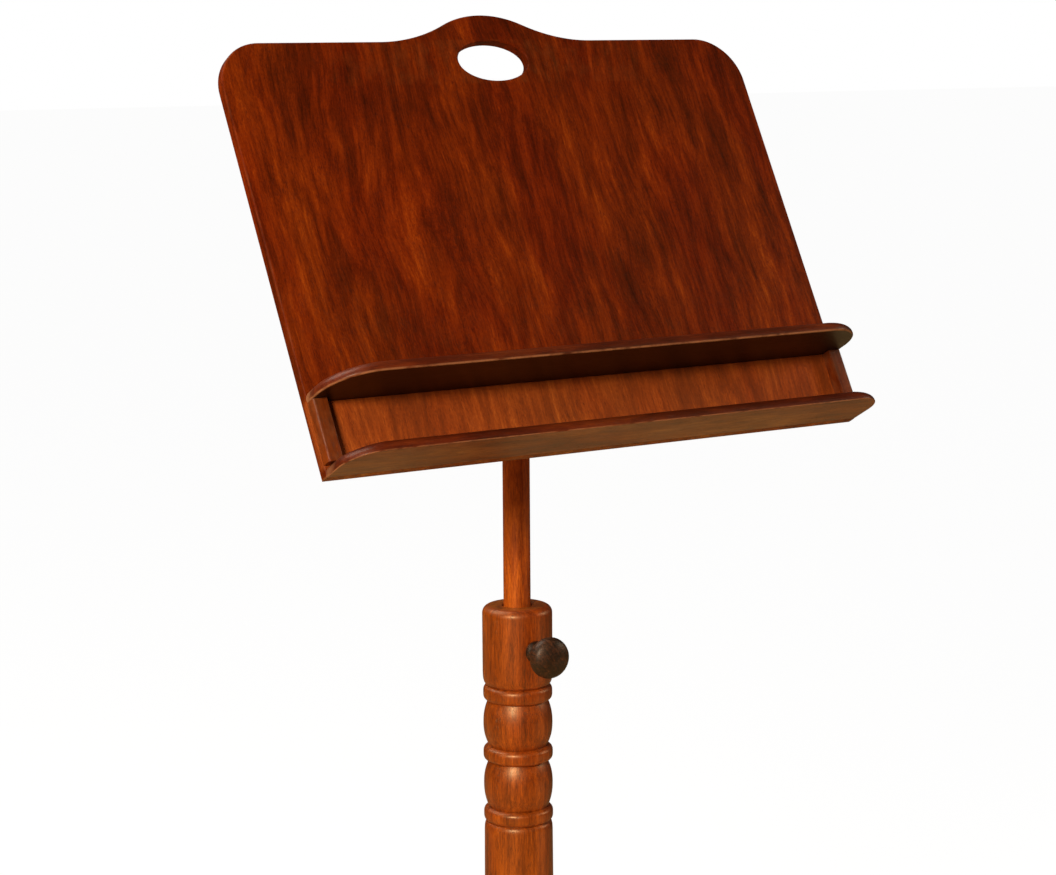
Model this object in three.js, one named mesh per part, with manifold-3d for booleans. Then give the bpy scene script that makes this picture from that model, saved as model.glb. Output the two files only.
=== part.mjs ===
// Wooden music stand: a tilting sheet-music desk with two ledges, on a round rod that slides and
// turns in a turned column, on three sawn legs.
// Millimetres. +Z up, the floor is z = 0, the column's axis is x = y = 0, the desk faces -Y.
import * as THREE from "three";
import { mergeVertices } from "three/addons/utils/BufferGeometryUtils.js";
import Module from "manifold-3d";

const wasm = await Module();
wasm.setup();

// ---------------------------------------------------------------- driving dimensions
const GAP = 0.3; // clearance between pieces that touch

const COLLAR_Z = 790; // top of the column
const PIVOT_Z = COLLAR_Z + 300.1; // tilt axis at rest
const TILT = THREE.MathUtils.degToRad(28.9); // desk lean from vertical at rest
const PIVOT_V = 195.2; // tilt axis above the desk's bottom edge, along the desk
const PIVOT_W = -44.8; // tilt axis behind the desk's front face

const DESK_W = 495.8;
const DESK_H = 355.3; // to the straight part of the top edge
const DESK_T = 9.5;
const DESK_CORNER_R = 40;
const DESK_ARRIS = 1.8;
const CREST_R = 85; // convex arc of the crest
const FLARE_R = 140; // concave arcs either side of it
const CREST_A = THREE.MathUtils.degToRad(26.5);
const HAND_HOLE = { v: 337, a: 33, b: 18 };

const SHELF_T = 9.2;
const LOWER_DEPTH = 48.5;
const LOWER_CORNER_R = 29;
const LOWER_NOSING = 8.2; // radius that the top is rounded over to, round the front and both ends
const UPPER_DEPTH = 55.5;
const UPPER_CORNER_R = 40;
const UPPER_NOSING = 7.4;
const UPPER_V = 58.3; // underside of the upper shelf

const BLOCK_W = 12.5;
const BLOCK_D = 9.8;

const PAD_W = 84;
const PAD_H = 120;
const PAD_T = 12;
const CHEEK_IN = 18.2;
const CHEEK_T = 12;
const CHEEK_R = 16;
const HEAD_X = 16; // half width of the tilt head across the bolt
const HEAD_Y = 17; // its half depth, also the radius of its top
const HEAD_DROP = 62; // head below the tilt axis
const SOCKET_TOP = 24; // rod's top end below the tilt axis
const BOLT_R = 4;

const ROD_R = 11.25;
const ROD_BOTTOM = 460;
const SLEEVE_TOP = 486;
const BORE_R = 12.3;
const BORE_BOTTOM = 350;

const POST_BOTTOM = 60;
const HUB_R = 30;
const KNOB_Z = COLLAR_Z - 33.8;
const KNOB_AZ = THREE.MathUtils.degToRad(270 - 4.1); // direction of the height knob
const COLLAR_R = 29.1;

const LEG_T = 20;
const LEG_IN = 19.3; // leg's inner end from the column's axis
const LEG_TOP = 186;
const LEG_AZ = [270, 30, 150];
const LEG_NAMES = ["front", "back_right", "back_left"];
const FOOT_RHO = 234;

// ---------------------------------------------------------------- materials
const mat = (color, roughness = 0.45, metalness = 0) =>
  new THREE.MeshStandardMaterial({ color, roughness, metalness });
const DESK_WOOD = 0x7a2c0c;
const SHELF_WOOD = 0x6a2410;
const POST_WOOD = 0xa5561e;
const DARK_WOOD = 0x3a2015;
const STEEL = 0x8c8c8a;
const BRASS = 0xb08a3c;

// ---------------------------------------------------------------- helpers
const V2 = (x, y) => new THREE.Vector2(x, y);
const V3 = (x, y, z) => new THREE.Vector3(x, y, z);
const X = V3(1, 0, 0);
const Y = V3(0, 1, 0);
const Z = V3(0, 0, 1);

// the desk's own axes: S across, U up along the board, N out of its front face
const S = X.clone();
const U = V3(0, Math.sin(TILT), Math.cos(TILT));
const N = V3(0, -Math.cos(TILT), Math.sin(TILT));
const DESK_O = V3(0, 0, PIVOT_Z)
  .addScaledVector(U, -PIVOT_V)
  .addScaledVector(N, -PIVOT_W);
const onDesk = (s, v, w) =>
  DESK_O.clone()
    .addScaledVector(S, s)
    .addScaledVector(U, v)
    .addScaledVector(N, w);

function frame(x, y, z, origin) {
  return new THREE.Matrix4().makeBasis(x, y, z).setPosition(origin);
}

// a frame whose Z runs along dir
function along(dir, origin) {
  const d = dir.clone().normalize();
  const side = Math.abs(d.z) > 0.9 ? X : Z;
  const x = new THREE.Vector3().crossVectors(side, d).normalize();
  const y = new THREE.Vector3().crossVectors(d, x);
  return frame(x, y, d, origin);
}

function solid(geometry, matrix) {
  const g = geometry.clone();
  g.deleteAttribute("normal");
  g.deleteAttribute("uv");
  if (matrix) g.applyMatrix4(matrix);
  const m = mergeVertices(g, 1e-4);
  let tri = new Uint32Array(m.index.array);
  const pos = m.attributes.position.array;
  let vol = 0;
  for (let i = 0; i < tri.length; i += 3) {
    const [a, b, c] = [tri[i] * 3, tri[i + 1] * 3, tri[i + 2] * 3];
    vol +=
      pos[a] * (pos[b + 1] * pos[c + 2] - pos[b + 2] * pos[c + 1]) +
      pos[a + 1] * (pos[b + 2] * pos[c] - pos[b] * pos[c + 2]) +
      pos[a + 2] * (pos[b] * pos[c + 1] - pos[b + 1] * pos[c]);
  }
  const out = [];
  for (let i = 0; i < tri.length; i += 3) {
    const t = [tri[i], tri[i + 1], tri[i + 2]];
    if (t[0] === t[1] || t[1] === t[2] || t[0] === t[2]) continue;
    if (vol < 0) out.push(t[0], t[2], t[1]);
    else out.push(...t);
  }
  return new wasm.Manifold(
    new wasm.Mesh({
      numProp: 3,
      vertProperties: new Float32Array(pos),
      triVerts: new Uint32Array(out),
    }),
  );
}

// body turned about the local Z: points are [radius, height]
function turned(points, segments, matrix) {
  const g = new THREE.LatheGeometry(
    points.map((p) => V2(Math.max(p[0], 0), p[1])),
    segments,
  );
  g.rotateX(Math.PI / 2);
  return solid(g, matrix);
}

function box(x, y, z, matrix) {
  return solid(new THREE.BoxGeometry(x, y, z), matrix);
}

function boxBetween(lo, hi) {
  const g = new THREE.BoxGeometry(hi[0] - lo[0], hi[1] - lo[1], hi[2] - lo[2]);
  g.translate((hi[0] + lo[0]) / 2, (hi[1] + lo[1]) / 2, (hi[2] + lo[2]) / 2);
  return g;
}

// drill along dir from a point, both ends flat
const drill = (radius, length, origin, dir, segments = 16) =>
  turned(
    [
      [0, 0],
      [radius, 0],
      [radius, length],
      [0, length],
    ],
    segments,
    along(dir, origin),
  );

// prism of a shape with softened arrises, from z0 to z0 + depth
function prism(shape, depth, arris, matrix, curveSegments = 8, steps = 2) {
  const g = new THREE.ExtrudeGeometry(shape, {
    depth: depth - 2 * arris,
    bevelEnabled: arris > 0,
    bevelThickness: arris,
    bevelSize: arris,
    bevelOffset: -arris,
    bevelSegments: steps,
    curveSegments,
  });
  g.translate(0, 0, arris);
  return solid(g, matrix);
}

const group = new THREE.Group();
group.name = "music_stand";
function add(name, manifold, material) {
  const m = manifold.getMesh();
  const g = new THREE.BufferGeometry();
  g.setAttribute(
    "position",
    new THREE.BufferAttribute(new Float32Array(m.vertProperties), 3),
  );
  g.setIndex(new THREE.BufferAttribute(new Uint32Array(m.triVerts), 1));
  g.computeVertexNormals();
  const mesh = new THREE.Mesh(g, material);
  mesh.name = name;
  group.add(mesh);
}

// countersunk wood screw: head at z = 0, point at z = length
const screwPoints = (headR, shankR, length) => [
  [0, 0],
  [headR, 0],
  [headR, 0.5],
  [shankR, 0.5 + (headR - shankR)],
  [shankR, length - 3],
  [0.4, length],
  [0, length],
];
const screwHole = (headR, shankR, length) => [
  [0, -2],
  [headR + GAP, -2],
  [headR + GAP, 0.5 + 0.15],
  [shankR + GAP, 0.65 + (headR - shankR)],
  [shankR + GAP, length + 0.6],
  [0, length + 0.6],
];

// ---------------------------------------------------------------- desk board
function deskShape() {
  const h = DESK_W / 2;
  const s = new THREE.Shape();
  s.moveTo(-h, 0);
  s.lineTo(h, 0);
  s.lineTo(h, DESK_H - DESK_CORNER_R);
  s.absarc(h - DESK_CORNER_R, DESK_H - DESK_CORNER_R, DESK_CORNER_R, 0, Math.PI / 2, false);
  const x0 = (CREST_R + FLARE_R) * Math.sin(CREST_A);
  const rise = (CREST_R + FLARE_R) * (1 - Math.cos(CREST_A));
  s.lineTo(x0, DESK_H);
  s.absarc(x0, DESK_H + FLARE_R, FLARE_R, -Math.PI / 2, -Math.PI / 2 - CREST_A, true);
  s.absarc(0, DESK_H + rise - CREST_R, CREST_R, Math.PI / 2 - CREST_A, Math.PI / 2, false);
  s.absarc(0, DESK_H + rise - CREST_R, CREST_R, Math.PI / 2, Math.PI / 2 + CREST_A, false);
  s.absarc(-x0, DESK_H + FLARE_R, FLARE_R, -Math.PI / 2 + CREST_A, -Math.PI / 2, true);
  s.lineTo(-h + DESK_CORNER_R, DESK_H);
  s.absarc(-h + DESK_CORNER_R, DESK_H - DESK_CORNER_R, DESK_CORNER_R, Math.PI / 2, Math.PI, false);
  s.lineTo(-h, 0);
  const hole = new THREE.Path();
  hole.absellipse(0, HAND_HOLE.v, HAND_HOLE.a, HAND_HOLE.b, 0, 2 * Math.PI, true);
  s.holes.push(hole);
  return s;
}

const SHELF_SCREW_S = [-170, 0, 170];
const SHELF_SCREW = { head: 3.4, shank: 1.6, length: 28 };
const PAD_SCREW = { head: 3.6, shank: 1.7, length: 17 };
const PAD_SCREW_AT = [
  [-34, 52, "upper_left"],
  [34, 52, "upper_right"],
  [-34, -52, "lower_left"],
  [34, -52, "lower_right"],
];
const LOWER_SCREW_V = SHELF_T / 2;
const UPPER_SCREW_V = UPPER_V + SHELF_T / 2;
const BLOCK_SCREW_V = (SHELF_T + UPPER_V) / 2;
const BLOCK_SCREW_S = DESK_W / 2 - BLOCK_W / 2;

let desk = prism(
  deskShape(),
  DESK_T,
  DESK_ARRIS,
  frame(S, U, N, onDesk(0, 0, -DESK_T)),
  5,
  1,
);
// the face is parted above the upper ledge, so the panel that sheets lean on is a face of its own
{
  const at = DESK_O.dot(U) + UPPER_V + SHELF_T + 6;
  const [above, below] = desk.splitByPlane([U.x, U.y, U.z], at);
  desk = above.asOriginal().add(below.asOriginal());
}
const shelfCut = { lower: [], upper: [] };
for (const s of SHELF_SCREW_S)
  for (const which of ["lower", "upper"]) {
    const v = which === "lower" ? LOWER_SCREW_V : UPPER_SCREW_V;
    const cut = turned(
      screwHole(SHELF_SCREW.head, SHELF_SCREW.shank, SHELF_SCREW.length),
      12,
      along(N, onDesk(s, v, -DESK_T + 0.1)),
    );
    desk = desk.subtract(cut);
    shelfCut[which].push(cut);
    add(
      which + "_shelf_screw_" + ["left", "centre", "right"][SHELF_SCREW_S.indexOf(s)],
      turned(
        screwPoints(SHELF_SCREW.head, SHELF_SCREW.shank, SHELF_SCREW.length),
        12,
        along(N, onDesk(s, v, -DESK_T + 0.1)),
      ),
      mat(BRASS, 0.35, 1),
    );
  }
const blockCut = {};
for (const side of [-1, 1]) {
  const at = along(N, onDesk(side * BLOCK_SCREW_S, BLOCK_SCREW_V, -DESK_T + 0.1));
  const cut = turned(screwHole(2.8, 1.3, 15), 12, at);
  desk = desk.subtract(cut);
  blockCut[side] = cut;
  add(
    (side < 0 ? "left" : "right") + "_block_screw",
    turned(screwPoints(2.8, 1.3, 15), 12, at),
    mat(BRASS, 0.35, 1),
  );
}
const padCuts = [];
for (const [s, dv, tag] of PAD_SCREW_AT) {
  const at = along(
    N,
    onDesk(s, PIVOT_V + dv, -DESK_T - GAP - PAD_T + 0.1),
  );
  const cut = turned(screwHole(PAD_SCREW.head, PAD_SCREW.shank, PAD_SCREW.length), 12, at);
  desk = desk.subtract(cut);
  padCuts.push(cut);
  add(
    "bracket_screw_" + tag,
    turned(screwPoints(PAD_SCREW.head, PAD_SCREW.shank, PAD_SCREW.length), 12, at),
    mat(BRASS, 0.35, 1),
  );
}
add("desk_panel", desk, mat(DESK_WOOD, 0.38));

// ---------------------------------------------------------------- ledges
// outline in (s, -w): the front runs along negative y, the back is cut square afterwards
function shelf(depth, v0, r, nosing, cuts) {
  const h = DESK_W / 2;
  const back = 14;
  const s = new THREE.Shape();
  s.moveTo(-h, back);
  s.lineTo(-h, -depth + r);
  s.absarc(-h + r, -depth + r, r, Math.PI, 1.5 * Math.PI, false);
  s.lineTo(h - r, -depth);
  s.absarc(h - r, -depth + r, r, 1.5 * Math.PI, 2 * Math.PI, false);
  s.lineTo(h, back);
  s.lineTo(-h, back);
  const at = frame(S, N.clone().negate(), U, onDesk(0, v0, 0));
  // made thicker below and trimmed, so that only the top is rounded over
  const spare = nosing + 1;
  const low = frame(S, N.clone().negate(), U, onDesk(0, v0 - spare, 0));
  let m = prism(s, SHELF_T + spare, nosing, low, 8, 4);
  m = m.subtract(solid(boxBetween([-h - 5, -depth - 5, -spare - 5], [h + 5, back + 5, 0]), at));
  m = m.subtract(solid(boxBetween([-h - 5, -GAP, -5], [h + 5, back + 5, SHELF_T + 5]), at));
  for (const c of cuts) m = m.subtract(c);
  return m;
}
add("lower_shelf", shelf(LOWER_DEPTH, 0, LOWER_CORNER_R, LOWER_NOSING, shelfCut.lower), mat(SHELF_WOOD, 0.36));
add("upper_shelf", shelf(UPPER_DEPTH, UPPER_V, UPPER_CORNER_R, UPPER_NOSING, shelfCut.upper), mat(SHELF_WOOD, 0.36));

for (const side of [-1, 1]) {
  const h = DESK_W / 2;
  const v0 = SHELF_T + GAP;
  const v1 = UPPER_V - GAP;
  const s = new THREE.Shape();
  const r = 1.2;
  s.moveTo(0, 0);
  s.lineTo(BLOCK_W, 0);
  s.lineTo(BLOCK_W, -BLOCK_D + GAP + r);
  s.absarc(BLOCK_W - r, -BLOCK_D + GAP + r, r, 0, -Math.PI / 2, true);
  s.lineTo(r, -BLOCK_D + GAP);
  s.absarc(r, -BLOCK_D + GAP + r, r, -Math.PI / 2, -Math.PI, true);
  s.lineTo(0, 0);
  const at = frame(
    S,
    N.clone().negate(),
    U,
    onDesk(side < 0 ? -h : h - BLOCK_W, v0, GAP),
  );
  add(
    (side < 0 ? "left" : "right") + "_end_block",
    prism(s, v1 - v0, 0, at, 3).subtract(blockCut[side]),
    mat(DESK_WOOD, 0.4),
  );
}

// ---------------------------------------------------------------- tilt bracket on the board's back
{
  const r = 8;
  const hx = PAD_W / 2;
  const hy = PAD_H / 2;
  const s = new THREE.Shape();
  s.moveTo(-hx + r, -hy);
  s.lineTo(hx - r, -hy);
  s.absarc(hx - r, -hy + r, r, -Math.PI / 2, 0, false);
  s.lineTo(hx, hy - r);
  s.absarc(hx - r, hy - r, r, 0, Math.PI / 2, false);
  s.lineTo(-hx + r, hy);
  s.absarc(-hx + r, hy - r, r, Math.PI / 2, Math.PI, false);
  s.lineTo(-hx, -hy + r);
  s.absarc(-hx + r, -hy + r, r, Math.PI, 1.5 * Math.PI, false);
  let pad = prism(
    s,
    PAD_T,
    1.2,
    frame(S, U, N, onDesk(0, PIVOT_V, -DESK_T - GAP - PAD_T)),
    3,
    1,
  );
  for (const c of padCuts) pad = pad.subtract(c);
  add("bracket_pad", pad, mat(DESK_WOOD, 0.45));

  const base = -DESK_T - 2 * GAP - PAD_T;
  const a0 = THREE.MathUtils.degToRad(222);
  const a1 = THREE.MathUtils.degToRad(318);
  const c = new THREE.Shape();
  c.moveTo(38, base);
  c.lineTo(-38, base);
  c.lineTo(-38, base - 4);
  c.lineTo(Math.cos(a0) * CHEEK_R, PIVOT_W + Math.sin(a0) * CHEEK_R);
  c.absarc(0, PIVOT_W, CHEEK_R, a0, a1, false);
  c.lineTo(38, base - 4);
  c.lineTo(38, base);
  for (const side of [-1, 1]) {
    const s0 = side < 0 ? -CHEEK_IN - CHEEK_T : CHEEK_IN;
    let cheek = prism(
      c,
      CHEEK_T,
      1.2,
      frame(U, N, S, onDesk(s0, PIVOT_V, 0)),
      8,
      1,
    );
    if (side < 0)
      // square hole for the bolt's square neck
      cheek = cheek
        .subtract(
          box(
            8.6,
            8.6,
            6.2,
            frame(U, N, S, onDesk(s0 + 2.9, PIVOT_V, PIVOT_W)),
          ),
        )
        .subtract(drill(BOLT_R + GAP, 40, onDesk(s0 - 5, PIVOT_V, PIVOT_W), S));
    else
      cheek = cheek.subtract(
        drill(BOLT_R + GAP, 40, onDesk(s0 - 5, PIVOT_V, PIVOT_W), S),
      );
    add((side < 0 ? "left" : "right") + "_cheek", cheek, mat(DESK_WOOD, 0.45));
  }
}

// coach bolt, head on the left
const CHEEK_OUT = CHEEK_IN + CHEEK_T;
const TILT_KNOB_X = CHEEK_OUT + GAP + 1.6 + GAP;
{
  const at = frame(U, N, S, V3(0, 0, PIVOT_Z));
  let bolt = turned(
    [
      [0, -CHEEK_OUT - 4.3],
      [4.2, -CHEEK_OUT - 3.9],
      [7.6, -CHEEK_OUT - 2.5],
      [9, -CHEEK_OUT - 0.8],
      [9, -CHEEK_OUT - GAP],
      [BOLT_R, -CHEEK_OUT - GAP],
      [BOLT_R, TILT_KNOB_X + 18.6],
      [BOLT_R - 0.8, TILT_KNOB_X + 19.4],
      [0, TILT_KNOB_X + 19.4],
    ],
    20,
    at,
  );
  bolt = bolt.add(
    box(8, 8, 5.6, frame(U, N, S, V3(-CHEEK_OUT + 2.5, 0, PIVOT_Z))),
  );
  add("tilt_bolt", bolt, mat(STEEL, 0.3, 1));
  add(
    "tilt_washer",
    turned(
      [
        [BOLT_R + GAP, CHEEK_OUT + GAP],
        [9.5, CHEEK_OUT + GAP],
        [9.5, CHEEK_OUT + GAP + 1.6],
        [BOLT_R + GAP, CHEEK_OUT + GAP + 1.6],
        [BOLT_R + GAP, CHEEK_OUT + GAP],
      ],
      24,
      at,
    ),
    mat(STEEL, 0.3, 1),
  );
}

// turned knob: [radius, distance from the face it seats on]
const knobPoints = (holeR, holeDepth, neck = 0) => [
  [0, holeDepth],
  [holeR, holeDepth],
  [holeR, 0],
  [8.3 + neck, 0],
  [8.9 + neck, 1.2],
  [8.5 + neck, 3.2],
  [6.9 + neck, 5.6],
  [6.2 + neck, 9],
  [6.9 + neck, 13.2],
  [10.4 + neck * 0.5, 16.6],
  [14.6, 19.2],
  [16.7, 22.6],
  [16.9, 26.4],
  [15.2, 30.2],
  [11, 33],
  [5.6, 34.8],
  [0, 35.3],
];
{
  const at = frame(Y, Z, X, V3(TILT_KNOB_X, 0, PIVOT_Z));
  let k = turned(knobPoints(BOLT_R + GAP, 21, 2.6), 20, at);
  k = k.subtract(
    turned(
      [
        [0, -2],
        [6.3, -2],
        [6.3, 14.6],
        [0, 14.6],
      ],
      20,
      at,
    ),
  );
  add("tilt_knob", k, mat(DARK_WOOD, 0.35));
  add(
    "tilt_knob_insert",
    turned(
      [
        [BOLT_R + GAP, 0.3],
        [6, 0.3],
        [6, 14.3],
        [BOLT_R + GAP, 14.3],
        [BOLT_R + GAP, 0.3],
      ],
      20,
      at,
    ),
    mat(BRASS, 0.35, 1),
  );
}

// ---------------------------------------------------------------- rod and tilt head
{
  const s = new THREE.Shape();
  s.moveTo(-HEAD_Y, -HEAD_DROP);
  s.lineTo(HEAD_Y, -HEAD_DROP);
  s.lineTo(HEAD_Y, 0);
  s.absarc(0, 0, HEAD_Y, 0, Math.PI, false);
  s.lineTo(-HEAD_Y, -HEAD_DROP);
  let head = prism(s, 2 * HEAD_X, 1.6, frame(Y, Z, X, V3(-HEAD_X, 0, PIVOT_Z)), 10, 1);
  head = head
    .subtract(drill(ROD_R + GAP, 60, V3(0, 0, PIVOT_Z - SOCKET_TOP + GAP - 60), Z, 28))
    .subtract(drill(BOLT_R + GAP, 60, V3(-30, 0, PIVOT_Z), X))
    .subtract(drill(2 + GAP, 60, V3(0, -30, PIVOT_Z - 44), Y, 12));
  add("tilt_head", head, mat(POST_WOOD, 0.42));
  add(
    "head_pin",
    drill(2, 2 * HEAD_Y - 0.6, V3(0, -HEAD_Y + 0.3, PIVOT_Z - 44), Y, 12),
    mat(POST_WOOD, 0.5),
  );
  const top = PIVOT_Z - SOCKET_TOP;
  let rod = turned(
    [
      [0, ROD_BOTTOM],
      [8.6, ROD_BOTTOM],
      [9, ROD_BOTTOM + 0.6],
      [9, SLEEVE_TOP],
      [10.8, SLEEVE_TOP],
      [ROD_R, SLEEVE_TOP + 0.8],
      [ROD_R, top - 1],
      [ROD_R - 1, top],
      [0, top],
    ],
    28,
  );
  rod = rod
    .subtract(drill(2 + GAP, 60, V3(0, -30, PIVOT_Z - 44), Y, 12))
    .subtract(drill(2 + GAP, 24, V3(0, 0, ROD_BOTTOM - 2), Z, 12));
  add("inner_rod", rod, mat(POST_WOOD, 0.4));
  for (const side of [-1, 1]) {
    const x0 = side < 0 ? -HEAD_X - GAP - 1.6 : HEAD_X + GAP;
    add(
      (side < 0 ? "left" : "right") + "_friction_washer",
      turned(
        [
          [BOLT_R + GAP, x0],
          [13, x0],
          [13, x0 + 1.6],
          [BOLT_R + GAP, x0 + 1.6],
          [BOLT_R + GAP, x0],
        ],
        20,
        frame(Y, Z, X, V3(0, 0, PIVOT_Z)),
      ),
      mat(0x5b2a1c, 0.8),
    );
  }
  add(
    "guide_sleeve",
    turned(
      [
        [9 + GAP, ROD_BOTTOM + 0.4],
        [11.6, ROD_BOTTOM + 0.4],
        [12, ROD_BOTTOM + 1.2],
        [12, SLEEVE_TOP - GAP - 0.8],
        [11.6, SLEEVE_TOP - GAP],
        [9 + GAP, SLEEVE_TOP - GAP],
        [9 + GAP, ROD_BOTTOM + 0.4],
      ],
      28,
    ),
    mat(0xd8d2c4, 0.6),
  );
  add(
    "rod_end_washer",
    turned(
      [
        [2 + GAP, ROD_BOTTOM - GAP - 1.6],
        [11.2, ROD_BOTTOM - GAP - 1.6],
        [11.2, ROD_BOTTOM - GAP],
        [2 + GAP, ROD_BOTTOM - GAP],
        [2 + GAP, ROD_BOTTOM - GAP - 1.6],
      ],
      20,
    ),
    mat(STEEL, 0.3, 1),
  );
  const h = ROD_BOTTOM - 2 * GAP - 1.6;
  add(
    "rod_end_screw",
    turned(
      [
        [0, h - 2.4],
        [2.6, h - 2.3],
        [4, h - 1.4],
        [4.2, h],
        [2, h],
        [2, ROD_BOTTOM + 18],
        [0.4, ROD_BOTTOM + 21],
        [0, ROD_BOTTOM + 21],
      ],
      16,
    ),
    mat(STEEL, 0.3, 1),
  );
}

// ---------------------------------------------------------------- turned column
// heights below are measured down from the column's top
const arcBetween = (zTop, zBot, rEdgeTop, rEdgeBot, rMax, n, power = 2) => {
  // a swelling between two grooves, fullest at mid height
  const out = [];
  for (let i = 0; i <= n; i++) {
    const t = i / n;
    const k = 1 - Math.pow(Math.abs(2 * t - 1), power);
    const edge = rEdgeTop + (rEdgeBot - rEdgeTop) * t;
    out.push([edge + (rMax - edge) * k, zTop + (zBot - zTop) * t]);
  }
  return out;
};
function postProfile() {
  const down = [];
  const p = (r, d) => down.push([r, d]);
  // mouth of the bore and rounded shoulder
  p(BORE_R + 0.6, 0);
  p(20.6, 0);
  for (const a of [25, 50, 90]) {
    const t = THREE.MathUtils.degToRad(a);
    p(20.6 + 8.5 * Math.sin(t), 8.5 * (1 - Math.cos(t)));
  }
  p(COLLAR_R, 56);
  p(COLLAR_R - 0.3, 61.5);
  p(COLLAR_R - 1.1, 64.6);
  p(25.6, 67.2); // groove
  const motif = [
    // [top, bottom, edge radii, fullest radius, power]
    [67.2, 82, 25.6, 25, 28.8, 4, 4],
    [82, 118, 25, 24.4, 28.85, 6, 2.3],
    [118, 134.2, 24.4, 24.4, 29, 4, 4],
    [134.2, 170, 24.4, 25, 28.8, 6, 2.3],
    [170, 185.6, 25, 26, 28.95, 4, 4],
  ];
  for (const [a, b, ra, rb, rm, n, pw] of motif)
    arcBetween(a, b, ra, rb, rm, n, pw)
      .slice(1)
      .forEach((q) => down.push(q));
  p(27.7, 187.4);
  p(28.5, 190.5);
  p(28.8, 215);
  // plain shaft, swelling slightly to its middle, then the same turning mirrored above the hub
  p(29, 330);
  p(28.6, 456);
  p(27.7, 459);
  p(26, 461);
  const low = [
    [461, 476.6, 26, 25, 28.95, 3, 4],
    [476.6, 512.6, 25, 24.6, 29, 5, 2.3],
    [512.6, 528.8, 24.6, 24.6, 29.4, 3, 4],
    [528.8, 564.8, 24.6, 25.4, 29.4, 5, 2.3],
    [564.8, 580.4, 25.4, 26.4, 29.8, 3, 4],
  ];
  for (const [a, b, ra, rb, rm, n, pw] of low)
    arcBetween(a, b, ra, rb, rm, n, pw)
      .slice(1)
      .forEach((q) => down.push(q));
  p(28.8, 582.6);
  p(HUB_R, 586);
  p(HUB_R, COLLAR_Z - POST_BOTTOM - 2);
  p(HUB_R - 2, COLLAR_Z - POST_BOTTOM);
  p(0, COLLAR_Z - POST_BOTTOM);
  const pts = down.map(([r, d]) => [r, COLLAR_Z - d]);
  // bore
  return [
    [0, BORE_BOTTOM],
    [BORE_R, BORE_BOTTOM],
    [BORE_R, COLLAR_Z - 0.6],
    ...pts,
  ];
}
const kDir = V3(Math.cos(KNOB_AZ), Math.sin(KNOB_AZ), 0);
const kAt = (r) => V3(0, 0, KNOB_Z).addScaledVector(kDir, r);
{
  let post = turned(postProfile(), 24);
  post = post.subtract(drill(6.2 + GAP, 30, kAt(5), kDir, 20));
  for (const az of LEG_AZ) {
    const a = THREE.MathUtils.degToRad(az);
    const e = V3(Math.cos(a), Math.sin(a), 0);
    const at = frame(e, Z, V3(Math.sin(a), -Math.cos(a), 0), V3(0, 0, 0));
    post = post.subtract(
      solid(
        boxBetween(
          [LEG_IN - GAP, POST_BOTTOM - 5, -LEG_T / 2 - GAP],
          [60, LEG_TOP + GAP, LEG_T / 2 + GAP],
        ),
        at,
      ),
    );
  }
  post = post.subtract(drill(3 + GAP, 46, V3(0, 0, POST_BOTTOM - 5), Z, 14));
  add("post", post, mat(POST_WOOD, 0.4));
}

// ---------------------------------------------------------------- height clamp
add(
  "collar_insert",
  turned(
    [
      [BOLT_R + GAP, 13.4],
      [6.2, 13.4],
      [6.2, 28.2],
      [BOLT_R + GAP, 28.2],
      [BOLT_R + GAP, 13.4],
    ],
    20,
    along(kDir, V3(0, 0, KNOB_Z)),
  ),
  mat(BRASS, 0.35, 1),
);
add("rod_shoe", drill(BOLT_R, 2.9, kAt(ROD_R + GAP), kDir, 18), mat(BRASS, 0.4, 1));
add("height_stud", drill(BOLT_R, 43.5, kAt(14.8), kDir, 18), mat(STEEL, 0.3, 1));
add(
  "height_knob",
  turned(knobPoints(BOLT_R + GAP, 29.4), 20, along(kDir, kAt(COLLAR_R + GAP))),
  mat(DARK_WOOD, 0.35),
);

// ---------------------------------------------------------------- legs and feet
function legShape() {
  const s = new THREE.Shape();
  s.moveTo(LEG_IN, POST_BOTTOM);
  s.lineTo(70, POST_BOTTOM);
  s.splineThru([
    V2(88, 58.5),
    V2(112, 53),
    V2(140, 43),
    V2(168, 30.5),
    V2(192, 17),
    V2(206, 8),
    V2(214, 3.3),
  ]);
  s.lineTo(252, 3.3);
  s.splineThru([V2(258.5, 9), V2(258, 18), V2(250, 26), V2(236, 31), V2(218, 36.5), V2(196, 46), V2(170, 61.5), V2(142, 81.5), V2(114, 107), V2(90, 134), V2(68, 161), V2(50, 178.5), V2(38, 185)]);
  s.lineTo(30, LEG_TOP);
  s.lineTo(LEG_IN, LEG_TOP);
  s.lineTo(LEG_IN, POST_BOTTOM);
  return s;
}
const PLATE_TOP = POST_BOTTOM - GAP;
const PLATE_T = 3;
let plate = drill(25, PLATE_T, V3(0, 0, PLATE_TOP - PLATE_T), Z, 32);
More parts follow.
